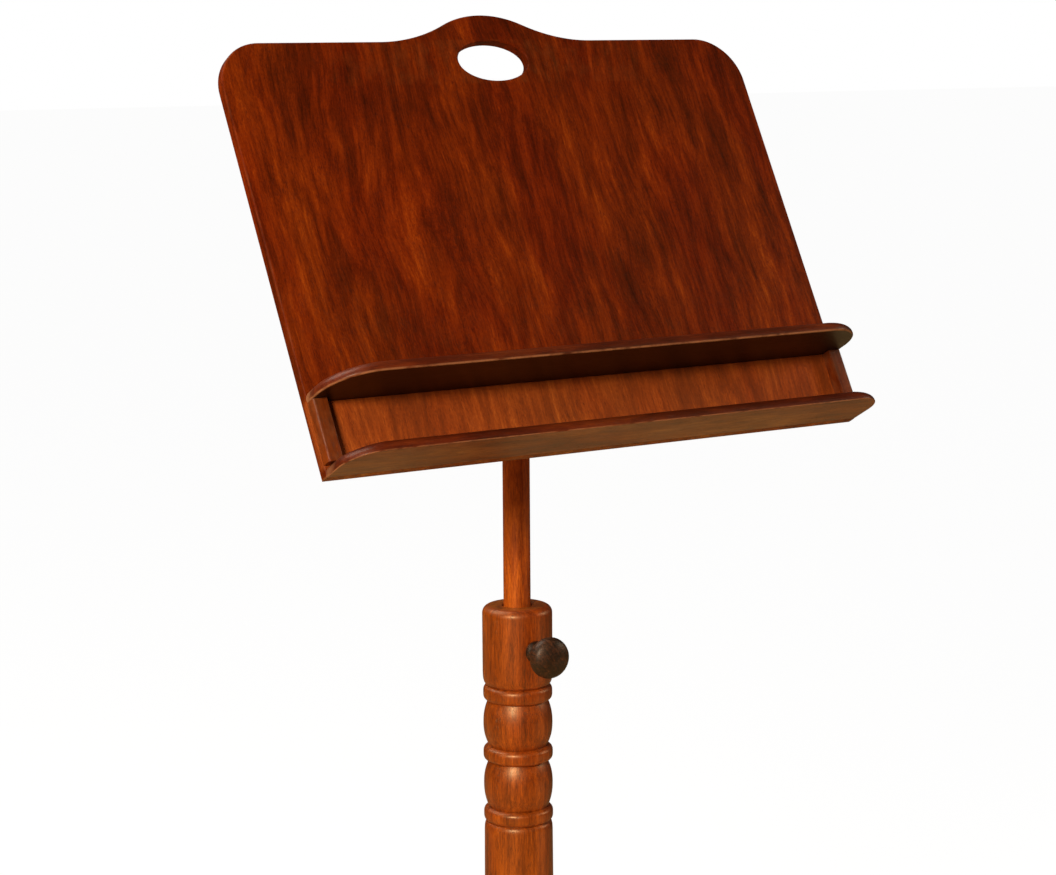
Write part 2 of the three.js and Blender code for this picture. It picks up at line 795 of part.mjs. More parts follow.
LEG_AZ.forEach((az, i) => {
  const a = THREE.MathUtils.degToRad(az);
  const e = V3(Math.cos(a), Math.sin(a), 0);
  const t = V3(Math.sin(a), -Math.cos(a), 0);
  const at = frame(e, Z, t, V3(0, 0, 0).addScaledVector(t, -LEG_T / 2));
  const radial = (rho, z) => V3(rho * e.x, rho * e.y, z);
  let leg = prism(legShape(), LEG_T, 1.8, at, 2, 1);
  leg = leg.subtract(drill(2.1 + GAP, 40, radial(54, POST_BOTTOM - 5), Z, 12));
  add("leg_" + LEG_NAMES[i], leg, mat(POST_WOOD, 0.4));
  plate = plate.add(
    solid(
      boxBetween([0, PLATE_TOP - PLATE_T, -8], [63, PLATE_TOP, 8]),
      frame(e, Z, t, V3(0, 0, 0)),
    ),
  );
  const head = PLATE_TOP - PLATE_T - GAP;
  add(
    "leg_screw_" + LEG_NAMES[i],
    turned(
      [
        [0, head - 2.4],
        [2.6, head - 2.3],
        [4, head - 1.4],
        [4.2, head],
        [2.1, head],
        [2.1, POST_BOTTOM + 26],
        [0.4, POST_BOTTOM + 30],
        [0, POST_BOTTOM + 30],
      ],
      14,
      new THREE.Matrix4().setPosition(radial(54, 0)),
    ),
    mat(STEEL, 0.35, 1),
  );
  add(
    "foot_pad_" + LEG_NAMES[i],
    turned(
      [
        [0, 0],
        [8.4, 0],
        [9, 0.6],
        [9, 3],
        [0, 3],
      ],
      24,
      new THREE.Matrix4().setPosition(radial(FOOT_RHO, 0)),
    ),
    mat(0x2a2724, 0.9),
  );
});
LEG_AZ.forEach((az) => {
  const a = THREE.MathUtils.degToRad(az);
  plate = plate.subtract(
    drill(2.1 + GAP, 10, V3(54 * Math.cos(a), 54 * Math.sin(a), PLATE_TOP - 6), Z, 14),
  );
});
plate = plate.subtract(drill(3 + GAP, 10, V3(0, 0, PLATE_TOP - 6), Z, 14));
add("spider_plate", plate, mat(0x4c4a47, 0.5, 1));
{
  const head = PLATE_TOP - PLATE_T - GAP;
  add(
    "post_screw",
    turned(
      [
        [0, head - 3.2],
        [3.4, head - 3],
        [5.4, head - 1.8],
        [5.6, head],
        [3, head],
        [3, POST_BOTTOM + 36],
        [0.4, POST_BOTTOM + 40],
        [0, POST_BOTTOM + 40],
      ],
      16,
    ),
    mat(STEEL, 0.35, 1),
  );
}

export default group;
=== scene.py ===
"""Wooden music stand: the visual model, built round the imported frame.

Lengths below are in millimetres and are scaled to metres as each mesh is made.
"""

import math

import bmesh
import bpy
from mathutils import Matrix, Vector
from mathutils.geometry import tessellate_polygon


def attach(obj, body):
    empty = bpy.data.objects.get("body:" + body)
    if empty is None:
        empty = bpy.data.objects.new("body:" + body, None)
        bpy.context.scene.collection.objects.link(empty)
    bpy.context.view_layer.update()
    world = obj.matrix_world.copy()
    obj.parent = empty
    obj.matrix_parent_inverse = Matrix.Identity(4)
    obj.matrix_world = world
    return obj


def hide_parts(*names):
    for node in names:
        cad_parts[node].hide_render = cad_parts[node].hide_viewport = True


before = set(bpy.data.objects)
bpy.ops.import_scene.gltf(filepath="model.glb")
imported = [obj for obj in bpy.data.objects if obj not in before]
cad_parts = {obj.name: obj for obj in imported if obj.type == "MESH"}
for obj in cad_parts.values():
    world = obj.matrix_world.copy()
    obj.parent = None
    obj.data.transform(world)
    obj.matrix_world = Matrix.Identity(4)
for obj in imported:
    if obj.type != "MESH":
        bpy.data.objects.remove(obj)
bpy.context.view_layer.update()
scene = bpy.context.scene
scene.view_settings.view_transform = "Standard"
scene.view_settings.look = "None"

# ------------------------------------------------------------------ camera
PSI, PHI, RHO = 0.5735, 0.1584, -0.0066
forward = Vector(
    (
        math.sin(PSI) * math.cos(PHI),
        math.cos(PSI) * math.cos(PHI),
        -math.sin(PHI),
    )
)
right = Vector((math.cos(PSI), -math.sin(PSI), 0))
up = right.cross(forward)
cam_x = math.cos(RHO) * right + math.sin(RHO) * up
cam_y = -math.sin(RHO) * right + math.cos(RHO) * up
cam_data = bpy.data.cameras.new("camera")
cam_data.sensor_width = 36
cam_data.lens = 86.33
cam_data.clip_start, cam_data.clip_end = 0.05, 60
camera = bpy.data.objects.new("camera", cam_data)
camera.matrix_world = Matrix.Translation((-1.10421, -1.72784, 1.25754)) @ Matrix(
    (cam_x, cam_y, -forward)
).transposed().to_4x4()
scene.collection.objects.link(camera)
scene.camera = camera

# ------------------------------------------------------------------ the part's own dimensions
GAP = 0.3
COLLAR_Z = 790
PIVOT_Z = COLLAR_Z + 300.1
TILT = math.radians(28.9)
PIVOT_V = 195.2
PIVOT_W = -44.8
DESK_W = 495.8
DESK_H = 355.3
DESK_T = 9.5
DESK_CORNER_R = 40
CREST_R = 85
FLARE_R = 140
CREST_A = math.radians(26.5)
HOLE_V, HOLE_A, HOLE_B = 337, 33, 18
SHELF_T = 9.2
LOWER_DEPTH, LOWER_CORNER_R, LOWER_NOSING = 48.5, 29, 8.2
UPPER_DEPTH, UPPER_CORNER_R, UPPER_NOSING = 55.5, 40, 7.4
UPPER_V = 58.3
BLOCK_W = 12.5
BLOCK_D = 9.8
PAD_W, PAD_H, PAD_T = 84, 120, 12
CHEEK_IN, CHEEK_T, CHEEK_R = 18.2, 12, 16
CHEEK_OUT = CHEEK_IN + CHEEK_T
HEAD_X, HEAD_Y, HEAD_DROP = 16, 17, 62
SOCKET_TOP = 24
BOLT_R = 4
TILT_KNOB_X = CHEEK_OUT + GAP + 1.6 + GAP
ROD_R = 11.25
ROD_BOTTOM = 460
SLEEVE_TOP = 486
BORE_R = 12.3
BORE_BOTTOM = 350
POST_BOTTOM = 60
HUB_R = 30
KNOB_Z = COLLAR_Z - 33.8
KNOB_AZ = math.radians(270 - 4.1)
COLLAR_R = 29.1
LEG_T = 20
LEG_IN = 19.3
LEG_TOP = 186
LEGS = {"front": 270, "back_right": 30, "back_left": 150}
FOOT_RHO = 234

X, Y, Z = Vector((1, 0, 0)), Vector((0, 1, 0)), Vector((0, 0, 1))
S = X.copy()
U = Vector((0, math.sin(TILT), math.cos(TILT)))
N = Vector((0, -math.cos(TILT), math.sin(TILT)))
DESK_O = Vector((0, 0, PIVOT_Z)) - PIVOT_V * U - PIVOT_W * N


def on_desk(s, v, w):
    return DESK_O + s * S + v * U + w * N


def axes(x, y, z, origin):
    m = Matrix((x, y, z)).transposed().to_4x4()
    m.translation = origin
    return m


def along(direction, origin):
    d = direction.normalized()
    side = X if abs(d.z) > 0.9 else Z
    x = side.cross(d).normalized()
    return axes(x, d.cross(x), d, origin)


# ------------------------------------------------------------------ mesh building
def mesh_from(name, verts, faces, at=None):
    me = bpy.data.meshes.new(name)
    at = at or Matrix.Identity(4)
    me.from_pydata([tuple((at @ Vector(v)) * 0.001) for v in verts], [], faces)
    me.validate()
    bm = bmesh.new()
    bm.from_mesh(me)
    bmesh.ops.remove_doubles(bm, verts=bm.verts, dist=1e-7)
    bmesh.ops.recalc_face_normals(bm, faces=bm.faces)
    bm.to_mesh(me)
    bm.free()
    return me


def as_object(name, me):
    o = bpy.data.objects.new(name, me)
    scene.collection.objects.link(o)
    return o


def lathe(points, segments, at=None, name="lathe"):
    """Body turned about the local Z. points are (radius, height), from one end to the other."""
    verts, faces, rings = [], [], []
    for r, z in points:
        if r <= 1e-6:
            rings.append([len(verts)])
            verts.append((0, 0, z))
        else:
            rings.append(list(range(len(verts), len(verts) + segments)))
            verts += [
                (
                    r * math.cos(2 * math.pi * i / segments),
                    r * math.sin(2 * math.pi * i / segments),
                    z,
                )
                for i in range(segments)
            ]
    for a, b in zip(rings, rings[1:]):
        for i in range(segments):
            j = (i + 1) % segments
            if len(a) == 1 and len(b) == 1:
                continue
            if len(a) == 1:
                faces.append((a[0], b[j], b[i]))
            elif len(b) == 1:
                faces.append((a[i], a[j], b[0]))
            else:
                faces.append((a[i], a[j], b[j], b[i]))
    return mesh_from(name, verts, faces, at)


def inset(poly, d, weights):
    """Moves each edge of a polygon into the material by d times its weight. The material is on the left."""
    out = []
    n = len(poly)
    for i in range(n):
        p, a, b = Vector(poly[i]), Vector(poly[i - 1]), Vector(poly[(i + 1) % n])
        e1, e2 = (p - a).normalized(), (b - p).normalized()
        n1, n2 = Vector((-e1.y, e1.x)), Vector((-e2.y, e2.x))
        d1, d2 = d * weights[i - 1], d * weights[i]
        det = n1.x * n2.y - n1.y * n2.x
        if abs(d1 - d2) < 1e-9:
            q = p + (n1 + n2) * (d1 / (1 + n1.dot(n2)))
        else:
            q = p + Vector((d1 * n2.y - d2 * n1.y, n1.x * d2 - n2.x * d1)) / det
        out.append((q.x, q.y))
    return out


def plank(
    outline,
    depth,
    low,
    high,
    at,
    holes=(),
    pits=(),
    weights=None,
    steps=5,
    low_steps=None,
    hole_arris=1.0,
    heavier=None,
    margin=0.0,
    name="plank",
):
    """A sawn piece: outline in local x and y, from z = 0 to depth, its arrises rounded to low mm at z = 0 and high mm at the other face.
    pits are blind screw holes, (x, y, [(radius, depth), ...], "low" or "high").
    margin mm inside both flat faces is another ring of points, so that what is marked on an arris stays near it."""
    loops = [list(outline)] + [list(h) for h in holes]
    w = [weights or [1] * len(outline)] + [[hole_arris] * len(h) for h in holes]
    low_steps = low_steps or steps
    levels = []
    if low > 0:
        levels += [
            (low * (1 - math.sin(t)), low * (1 - math.cos(t)))
            for t in [k / low_steps * math.pi / 2 for k in range(low_steps + 1)]
        ]
    else:
        levels.append((0, 0))
    if high > 0:
        levels += [
            (high * (1 - math.sin(t)), depth - high * (1 - math.cos(t)))
            for t in [(1 - k / steps) * math.pi / 2 for k in range(steps + 1)]
        ]
    else:
        levels.append((0, depth))
    verts, faces = [], []
    ends = {"low": [], "high": []}
    for loop, weight in zip(loops, w):
        rings = []
        for d, z in levels:
            ring = inset(loop, d, weight) if d else loop
            if heavier and loop is loops[0] and z > depth - high:
                out = [(Vector(b) - Vector(a)) * m for a, b, m in zip(loop, ring, heavier)]
                ring = [(b[0] + o.x, b[1] + o.y) for b, o in zip(ring, out)]
            rings.append(list(range(len(verts), len(verts) + len(ring))))
            verts += [(x, y, z) for x, y in ring]
            if margin and loop is loops[0] and (d, z) in (levels[0], levels[-1]):
                inner = inset(ring, margin, [max(x, 0.15) for x in weight])
                extra = list(range(len(verts), len(verts) + len(inner)))
                verts += [(x, y, z) for x, y in inner]
                rings.insert(0 if z == 0 else len(rings), extra)
        n = len(loop)
        for a, b in zip(rings, rings[1:]):
            faces += [(a[i], a[(i + 1) % n], b[(i + 1) % n], b[i]) for i in range(n)]
        ends["low"].append(rings[0])
        ends["high"].append(rings[-1])
    for x, y, profile, side in pits:
        rings = []
        m = 24
        for r, down in profile:
            z = down if side == "low" else depth - down
            rings.append(list(range(len(verts), len(verts) + m)))
            verts += [
                (
                    x + r * math.cos(2 * math.pi * i / m),
                    y + r * math.sin(2 * math.pi * i / m),
                    z,
                )
                for i in range(m)
            ]
        for a, b in zip(rings, rings[1:]):
            faces += [(a[i], a[(i + 1) % m], b[(i + 1) % m], b[i]) for i in range(m)]
        faces.append(tuple(rings[-1]))
        ends[side].append(rings[0])
    for side in ends:
        flat = [i for ring in ends[side] for i in ring]
        polys = [[Vector((verts[i][0], verts[i][1], 0)) for i in ring] for ring in ends[side]]
        faces += [tuple(flat[k] for k in t) for t in tessellate_polygon(polys)]
    return mesh_from(name, verts, faces, at)


def cut(me, cutters):
    """The mesh with the cutters taken out of it."""
    o = as_object("cutting", me)
    tools = []
    for c in cutters:
        t = as_object("cutter", c)
        tools.append(t)
        m = o.modifiers.new("cut", "BOOLEAN")
        m.operation, m.solver, m.object = "DIFFERENCE", "EXACT", t
    dg = bpy.context.evaluated_depsgraph_get()
    dg.update()
    out = bpy.data.meshes.new_from_object(o.evaluated_get(dg), depsgraph=dg)
    for t in tools + [o]:
        old = t.data
        bpy.data.objects.remove(t)
        bpy.data.meshes.remove(old)
    bm = bmesh.new()
    bm.from_mesh(out)
    bmesh.ops.remove_doubles(bm, verts=bm.verts, dist=2e-6)
    bmesh.ops.dissolve_degenerate(bm, dist=1e-6, edges=bm.edges)
    bm.to_mesh(out)
    bm.free()
    return out


def rod_shape(radius, z0, z1, at, segments=32):
    return lathe([(0, z0), (radius, z0), (radius, z1), (0, z1)], segments, at, "tool")


def box_shape(lo, hi, at):
    v = [(x, y, z) for x in (lo[0], hi[0]) for y in (lo[1], hi[1]) for z in (lo[2], hi[2])]
    f = [(0, 1, 3, 2), (4, 6, 7, 5), (0, 4, 5, 1), (2, 3, 7, 6), (0, 2, 6, 4), (1, 5, 7, 3)]
    return mesh_from("tool", v, f, at)


def mark_edges(me):
    """Stores how convex (above 0) or hollow (below 0) the surface is at each point, for wear and painted highlight on
    arrises and for painted shade darkening the grooves.
    """
    bm = bmesh.new()
    bm.from_mesh(me)
    bm.verts.ensure_lookup_table()
    raw = []
    for v in bm.verts:
        hi = lo = 0.0
        for e in v.link_edges:
            if len(e.link_faces) == 2:
                a = e.calc_face_angle_signed(0)
                hi, lo = max(hi, a), min(lo, a)
        up_ = min(1.0, max(0.0, (hi - 0.09) / 0.3))
        down = min(1.0, max(0.0, (-lo - 0.09) / 0.3))
        raw.append(-down if down > up_ else up_)
    values = [0.0] * len(raw)
    for v in bm.verts:
        near = [raw[e.other_vert(v).index] for e in v.link_edges if e.calc_length() < 0.004]
        values[v.index] = (raw[v.index] * 2 + sum(near)) / (2 + len(near))
    bm.free()
    at = me.attributes.new("edge", "FLOAT", "POINT")
    at.data.foreach_set("value", values)


def mark_grain(me, origin, across, depth, length, seed):
    """Stores where each point lies in its own board or billet, in metres: across, through and along the grain."""
    at = me.attributes.new("grain", "FLOAT_VECTOR", "POINT")
    o = Vector(origin) * 0.001
    shift = Vector(
        (
            (seed * 0.731) % 1.0 * 1.7,
            (seed * 0.417) % 1.0 * 1.3,
            (seed * 0.913) % 1.0 * 2.9,
        )
    )
    flat = []
    for v in me.vertices:
        d = v.co - o
        flat += [d.dot(across) + shift.x, d.dot(depth) + shift.y, d.dot(length) + shift.z]
    at.data.foreach_set("vector", flat)


def paint_underside_shade_and_light(me, origin, up_, value):
    """Marks the flat underside for painted shade and painted light: 1 painted darker as shade, -1 painted browner and
    paler as a reflection of the floor.
    """
    at = me.attributes.new("under", "FLOAT", "POINT")
    o = Vector(origin) * 0.001
    at.data.foreach_set("value", [value if (v.co - o).dot(up_) < 0.00005 else 0.0 for v in me.vertices])


# painted light: sets the under attribute to value where test holds, for a painted tone (see the under entry of wood)
def paint_light_tone(me, test, value):
    at = me.attributes.new("under", "FLOAT", "POINT")
    at.data.foreach_set("value", [value if test(v.co * 1000) else 0.0 for v in me.vertices])


def finish_piece(name, me, node, body, material, grain=None, sharp=34, weighted=True, matrix=None):
    """Turns a mesh into a piece that stands for a CAD node."""
    me.name = name
    if grain:
        mark_grain(me, *grain)
    if "edge" not in me.attributes:
        mark_edges(me)
    for p in me.polygons:
        p.use_smooth = True
    bm = bmesh.new()
    bm.from_mesh(me)
    limit = math.radians(sharp)
    for e in bm.edges:
        e.smooth = len(e.link_faces) == 2 and e.calc_face_angle(0) < limit
    bm.to_mesh(me)
    bm.free()
    me.materials.clear()
    me.materials.append(material)
    o = as_object(name, me)
    if matrix is not None:
        o.matrix_world = matrix
    if weighted:
        m = o.modifiers.new("even_shading", "WEIGHTED_NORMAL")
        m.keep_sharp = True
        m.weight = 70
    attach(o, body)
    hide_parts(node)
    return o


def arc(cx, cy, r, a0, a1, n):
    return [
        (cx + r * math.cos(a0 + (a1 - a0) * k / n), cy + r * math.sin(a0 + (a1 - a0) * k / n))
        for k in range(n + 1)
    ]


def circle(cx, cy, rx, ry, n):
    """Clockwise, as the edge of a hole."""
    return [
        (cx + rx * math.cos(-2 * math.pi * k / n), cy + ry * math.sin(-2 * math.pi * k / n))
        for k in range(n)
    ]


def smooth_through(points, steps):
    """Catmull-Rom curve through the points."""
    out = []
    n = len(points)
    for i in range(n - 1):
        p0, p1 = points[max(i - 1, 0)], points[i]
        p2, p3 = points[i + 1], points[min(i + 2, n - 1)]
        for k in range(steps):
            t = k / steps
            q = []
            for c in (0, 1):
                v0, v1 = (p2[c] - p0[c]) / 2, (p3[c] - p1[c]) / 2
                q.append(
                    (2 * p1[c] - 2 * p2[c] + v0 + v1) * t**3
                    + (-3 * p1[c] + 3 * p2[c] - 2 * v0 - v1) * t**2
                    + v0 * t
                    + p1[c]
                )
            out.append(tuple(q))
    out.append(tuple(points[-1]))
    return out


def tidy(points, least=0.05):
    """Drops points that repeat the one before."""
    out = []
    for p in points:
        if not out or math.dist(out[-1], p) > least:
            out.append(p)
    while math.dist(out[0], out[-1]) < least:
        out.pop()
    return out


# ------------------------------------------------------------------ materials
class Nodes:
    """Short names for making a material's nodes."""

    def __init__(self, name):
        self.m = bpy.data.materials.new(name)
        self.m.use_nodes = True
        self.t = self.m.node_tree
        self.shader = self.t.nodes["Principled BSDF"]

    def new(self, kind, **values):
        n = self.t.nodes.new(kind)
        for k, v in values.items():
            setattr(n, k, v)
        return n

    def put(self, socket, value):
        if isinstance(value, bpy.types.NodeSocket):
            self.t.links.new(value, socket)
        else:
            socket.default_value = value

    def math(self, op, a, b=0.0, c=0.0, clamp=False):
        n = self.new("ShaderNodeMath", operation=op, use_clamp=clamp)
        self.put(n.inputs[0], a)
        self.put(n.inputs[1], b)
        if len(n.inputs) > 2:
            self.put(n.inputs[2], c)
        return n.outputs[0]

    def vec(self, op, a, b=(0, 0, 0)):
        n = self.new("ShaderNodeVectorMath", operation=op)
        self.put(n.inputs[0], a)
        self.put(n.inputs[1], b)
        return n.outputs[0]

    def noise(self, vector, scale, detail=3.0, rough=0.5, distort=0.0, out="Fac"):
        n = self.new("ShaderNodeTexNoise")
        self.put(n.inputs["Vector"], self.vec("MULTIPLY", vector, scale))
        n.inputs["Scale"].default_value = 1.0
        n.inputs["Detail"].default_value = detail
        n.inputs["Roughness"].default_value = rough
        n.inputs["Distortion"].default_value = distort
        return n.outputs[out]

    def ramp(self, fac, stops, ease="LINEAR"):
        n = self.new("ShaderNodeValToRGB")
        n.color_ramp.interpolation = ease
        e = n.color_ramp.elements
        while len(e) < len(stops):
            e.new(0.5)
        for k, (at, colour) in enumerate(stops):
            e[k].position = at
            e[k].color = (*colour, 1) if len(colour) == 3 else colour
        self.put(n.inputs[0], fac)
        return n.outputs[0]

    def spread(self, value, lo, hi, to_lo=0.0, to_hi=1.0):
        n = self.new("ShaderNodeMapRange")
        n.clamp = True
        self.put(n.inputs["Value"], value)
        n.inputs["From Min"].default_value = lo
        n.inputs["From Max"].default_value = hi
        n.inputs["To Min"].default_value = to_lo
        n.inputs["To Max"].default_value = to_hi
        return n.outputs["Result"]

    def mix(self, fac, a, b, blend="MIX"):
        n = self.new("ShaderNodeMix", data_type="RGBA", blend_type=blend)
        self.put(n.inputs[0], fac)
        for s, v in ((n.inputs[6], a), (n.inputs[7], b)):
            self.put(s, (*v, 1) if isinstance(v, tuple) and len(v) == 3 else v)
        return n.outputs[2]

    def bump(self, height, distance, strength=1.0, normal=None):
        n = self.new("ShaderNodeBump")
        n.inputs["Strength"].default_value = strength
        n.inputs["Distance"].default_value = distance
        self.put(n.inputs["Height"], height)
        if normal is not None:
            self.put(n.inputs["Normal"], normal)
        return n.outputs["Normal"]

    def attribute(self, name, out="Vector"):
        return self.new("ShaderNodeAttribute", attribute_name=name).outputs[out]

    def finish(self, colour, rough, normal=None, **fixed):
        self.put(self.shader.inputs["Base Color"], colour)
        self.put(self.shader.inputs["Roughness"], rough)
        if normal is not None:
            self.put(self.shader.inputs["Normal"], normal)
        for k, v in fixed.items():
            self.shader.inputs[k.replace("_", " ")].default_value = v
        return self.m


def wood(
    name,
    palette,
    *,
    bands=1.0,
    wide_size=(13, 13, 3.5),
    patches=1.0,
    patch_size=(46, 46, 13),
    streaks=1.0,
    streak_size=(140, 140, 21),
    fibres=1.0,
    fibre_size=(520, 520, 52),
    hairs=1.0,
    hair_size=(1600, 1600, 140),
    grit=0.0,
    rings=0.4,
    ring_gap=9.0,
    heart=(0.0, -0.11),
    pores=0.5,
    rough=0.42,
    spread=0.08,
    specular=0.35,
    specular_tint=(1.0, 1.0, 1.0),
    coat=0.15,
    coat_rough=0.3,
    wear_and_highlight=(0.3, 0.1, 0.03),
    wear_and_highlight_by=0.35,
    wear_and_highlight_from=0.42,
    groove_shade=(0.03, 0.006, 0.002),
    groove_shade_by=0.5,
    warp=0.02,
    depth=0.00006,
    painted_light_band=None,
    under=None,
):
    """Varnished wood. palette is four linear colours from the darkest streak to the lightest.
    The tuple for the painted light band is (from, to, multiplier, amount, evenness, tone, face): a stretch along the
    grain painted lighter and more even, a painted pool of light, on the face that lies at depth face.
    under is (multiplier where the under mark is 1, multiplier where it is -1, amount of the latter): painted shade and
    painted light on undersides and other marked faces, see the functions that set the under attribute."""
    k = Nodes(name)
    p0 = k.attribute("grain")
    sway = k.vec("SUBTRACT", k.noise(p0, (6, 6, 3.6), 2, 0.5, out="Color"), (0.5, 0.5, 0.5))
    p = k.vec("ADD", p0, k.vec("MULTIPLY", sway, (warp, warp, 0)))
    fine_sway = k.vec("SUBTRACT", k.noise(p, (46, 46, 17), 2, 0.5, out="Color"), (0.5, 0.5, 0.5))
    q = k.vec("ADD", p, k.vec("MULTIPLY", fine_sway, (0.0034, 0.0034, 0)))

    wide = k.noise(p, wide_size, 2, 0.5)
    patch = k.noise(q, patch_size, 3, 0.55, 0.35)
    streak = k.noise(q, streak_size, 4, 0.6)
    fibre = k.noise(q, fibre_size, 3, 0.6)
    hair = k.noise(q, hair_size, 2, 0.6)

    # growth rings, cut by the surface as the saw or the gouge did
    sep = k.new("ShaderNodeSeparateXYZ")
    k.put(sep.inputs[0], q)
    cx = k.math("SUBTRACT", sep.outputs[0], heart[0])
    cy = k.math("SUBTRACT", sep.outputs[1], heart[1])
    radius = k.math("SQRT", k.math("ADD", k.math("MULTIPLY", cx, cx), k.math("MULTIPLY", cy, cy)))
    lean = k.math("ADD", radius, k.math("MULTIPLY", k.noise(p, (9, 9, 4), 2, 0.5), 0.024))
    turn = k.math("FRACT", k.math("MULTIPLY", lean, 1000.0 / ring_gap))
    ring = k.math("POWER", turn, 2.4)

    v = k.math("ADD", 0.5, k.math("MULTIPLY", k.math("SUBTRACT", wide, 0.5), 0.95 * bands))
    v = k.math("ADD", v, k.math("MULTIPLY", k.math("SUBTRACT", patch, 0.5), 0.85 * patches))
    v = k.math("ADD", v, k.math("MULTIPLY", k.math("SUBTRACT", streak, 0.5), 0.85 * streaks))
    v = k.math("ADD", v, k.math("MULTIPLY", k.math("SUBTRACT", fibre, 0.5), 0.55 * fibres))
    v = k.math("ADD", v, k.math("MULTIPLY", k.math("SUBTRACT", hair, 0.5), 0.26 * hairs))
    v = k.math("SUBTRACT", v, k.math("MULTIPLY", ring, 0.30 * rings))
    if grit:
        speck = k.noise(q, (1050, 1050, 420), 2, 0.6)
        v = k.math("ADD", v, k.math("MULTIPLY", k.math("SUBTRACT", speck, 0.5), 0.6 * grit))
    colour = k.ramp(
        v,
        [(0.12, palette[0]), (0.42, palette[1]), (0.64, palette[2]), (0.92, palette[3])],
    )
    # some of the board is a little more orange, some a little more crimson
    hue = k.spread(k.noise(p, (21, 21, 7), 2, 0.5), 0.35, 0.65)
    colour = k.mix(hue, k.mix(1.0, colour, (0.96, 0.84, 0.8), "MULTIPLY"), k.mix(1.0, colour, (1.03, 1.16, 1.18), "MULTIPLY"))
    # painted light: a stretch of the face painted lighter and more even
    if painted_light_band:
        along_grain = k.new("ShaderNodeSeparateXYZ")
        k.put(along_grain.inputs[0], p0)
        z = along_grain.outputs[2]
        inside = k.math(
            "MULTIPLY",
            k.spread(z, painted_light_band[0] - 0.004, painted_light_band[0]),
            k.spread(z, painted_light_band[1], painted_light_band[1] + 0.004, 1.0, 0.0),
        )
        inside = k.math(
            "MULTIPLY", inside, k.spread(along_grain.outputs[1], painted_light_band[6] - 0.0085, painted_light_band[6] - 0.004)
        )
        light = k.mix(painted_light_band[4], k.mix(1.0, colour, painted_light_band[2], "MULTIPLY"), painted_light_band[5])
        colour = k.mix(k.math("MULTIPLY", inside, painted_light_band[3]), colour, light)
    # painted light and shade: faces marked 1 take the first multiplier, faces marked -1 the second
    if under:
        side = k.attribute("under", "Fac")
        colour = k.mix(k.spread(side, 0.0, 1.0), colour, k.mix(1.0, colour, under[0], "MULTIPLY"))
        colour = k.mix(k.spread(side, -1.0, 0.0, under[2], 0.0), colour, k.mix(1.0, colour, under[1], "MULTIPLY"))
    # open pores: short dark dashes
    pore = k.noise(q, (2300, 2300, 150), 1, 0.5)
    room = k.noise(q, (120, 120, 14), 2, 0.5)
    pore = k.math("MULTIPLY", k.spread(pore, 0.61, 0.69), k.spread(room, 0.36, 0.6, 0.35, 1))
    colour = k.mix(k.math("MULTIPLY", pore, pores), colour, tuple(c * 0.25 for c in palette[0]))

    # worn arrises: real wear, which on the ledges also paints the highlight line along the lower arris
    edge = k.attribute("edge", "Fac")
    rub = k.noise(p, (90, 90, 60), 3, 0.6)
    worn_and_highlit = k.math("MULTIPLY", k.spread(edge, 0.4, 0.95), k.spread(rub, wear_and_highlight_from, wear_and_highlight_from + 0.24))
    colour = k.mix(k.math("MULTIPLY", worn_and_highlit, wear_and_highlight_by), colour, wear_and_highlight)
    # painted shade: hollows and grooves are painted darker
    hollow = k.spread(edge, -0.85, -0.1, 1.0, 0.0)
    colour = k.mix(k.math("MULTIPLY", hollow, groove_shade_by), colour, groove_shade)

    r = k.math("ADD", rough, k.math("MULTIPLY", k.math("SUBTRACT", streak, 0.5), spread * 2))
    r = k.math("ADD", r, k.math("MULTIPLY", pore, 0.16))
    r = k.math("ADD", r, k.math("MULTIPLY", worn_and_highlit, -0.06))
    smear = k.noise(p, (30, 30, 18), 4, 0.6)
    r = k.math("ADD", r, k.math("MULTIPLY", k.math("SUBTRACT", smear, 0.5), spread * 1.6))
    height = k.math("ADD", k.math("MULTIPLY", fibre, 0.5), k.math("MULTIPLY", hair, 0.35))
    height = k.math("SUBTRACT", height, k.math("MULTIPLY", pore, 1.1))
    height = k.math("ADD", height, k.math("MULTIPLY", streak, 0.35))
    normal = k.bump(height, depth, 1.0)
    return k.finish(
        colour,
        r,
        normal,
        Specular_IOR_Level=specular,
        Specular_Tint=(*specular_tint, 1),
        Coat_Weight=coat,
        Coat_Roughness=coat_rough,
    )


# where the board lies along its own grain coordinate, see mark_grain
BOARD_AT = (1 * 0.913) % 1.0 * 2.9
BOARD_FACE = (1 * 0.417) % 1.0 * 1.3
DESK_TONES = [
    (0.040, 0.0052, 0.0005),
    (0.112, 0.0116, 0.0006),
    (0.196, 0.0222, 0.0009),
    (0.340, 0.0510, 0.0022),
]
desk_wood = wood(
    "desk_wood",
    DESK_TONES,
    bands=0.6,
    wide_size=(13, 13, 4.5),
    patches=0.85,
    patch_size=(52, 52, 13),
    streaks=1.0,
    streak_size=(140, 140, 15),
    fibres=0.95,
    fibre_size=(460, 460, 34),
    hairs=1.2,
    hair_size=(1300, 1300, 90),
    grit=0.7,
    rings=0.15,
    ring_gap=13,
    rough=0.47,
    specular=0.06,
    coat=0.0,
    warp=0.05,
    wear_and_highlight=(0.26, 0.070, 0.018),
    # painted light on the front face between the two ledges, lighter and more even
    painted_light_band=(BOARD_AT + 0.0092, BOARD_AT + 0.0583, (1.8, 2.9, 9.5), 1.0, 0.24, (0.31, 0.060, 0.0110), BOARD_FACE),
    # painted floor reflection: the board's bottom edge, marked -1, is painted paler and browner
    under=((1.0, 1.0, 1.0), (1.8, 5.4, 34.0), 1.0),
)
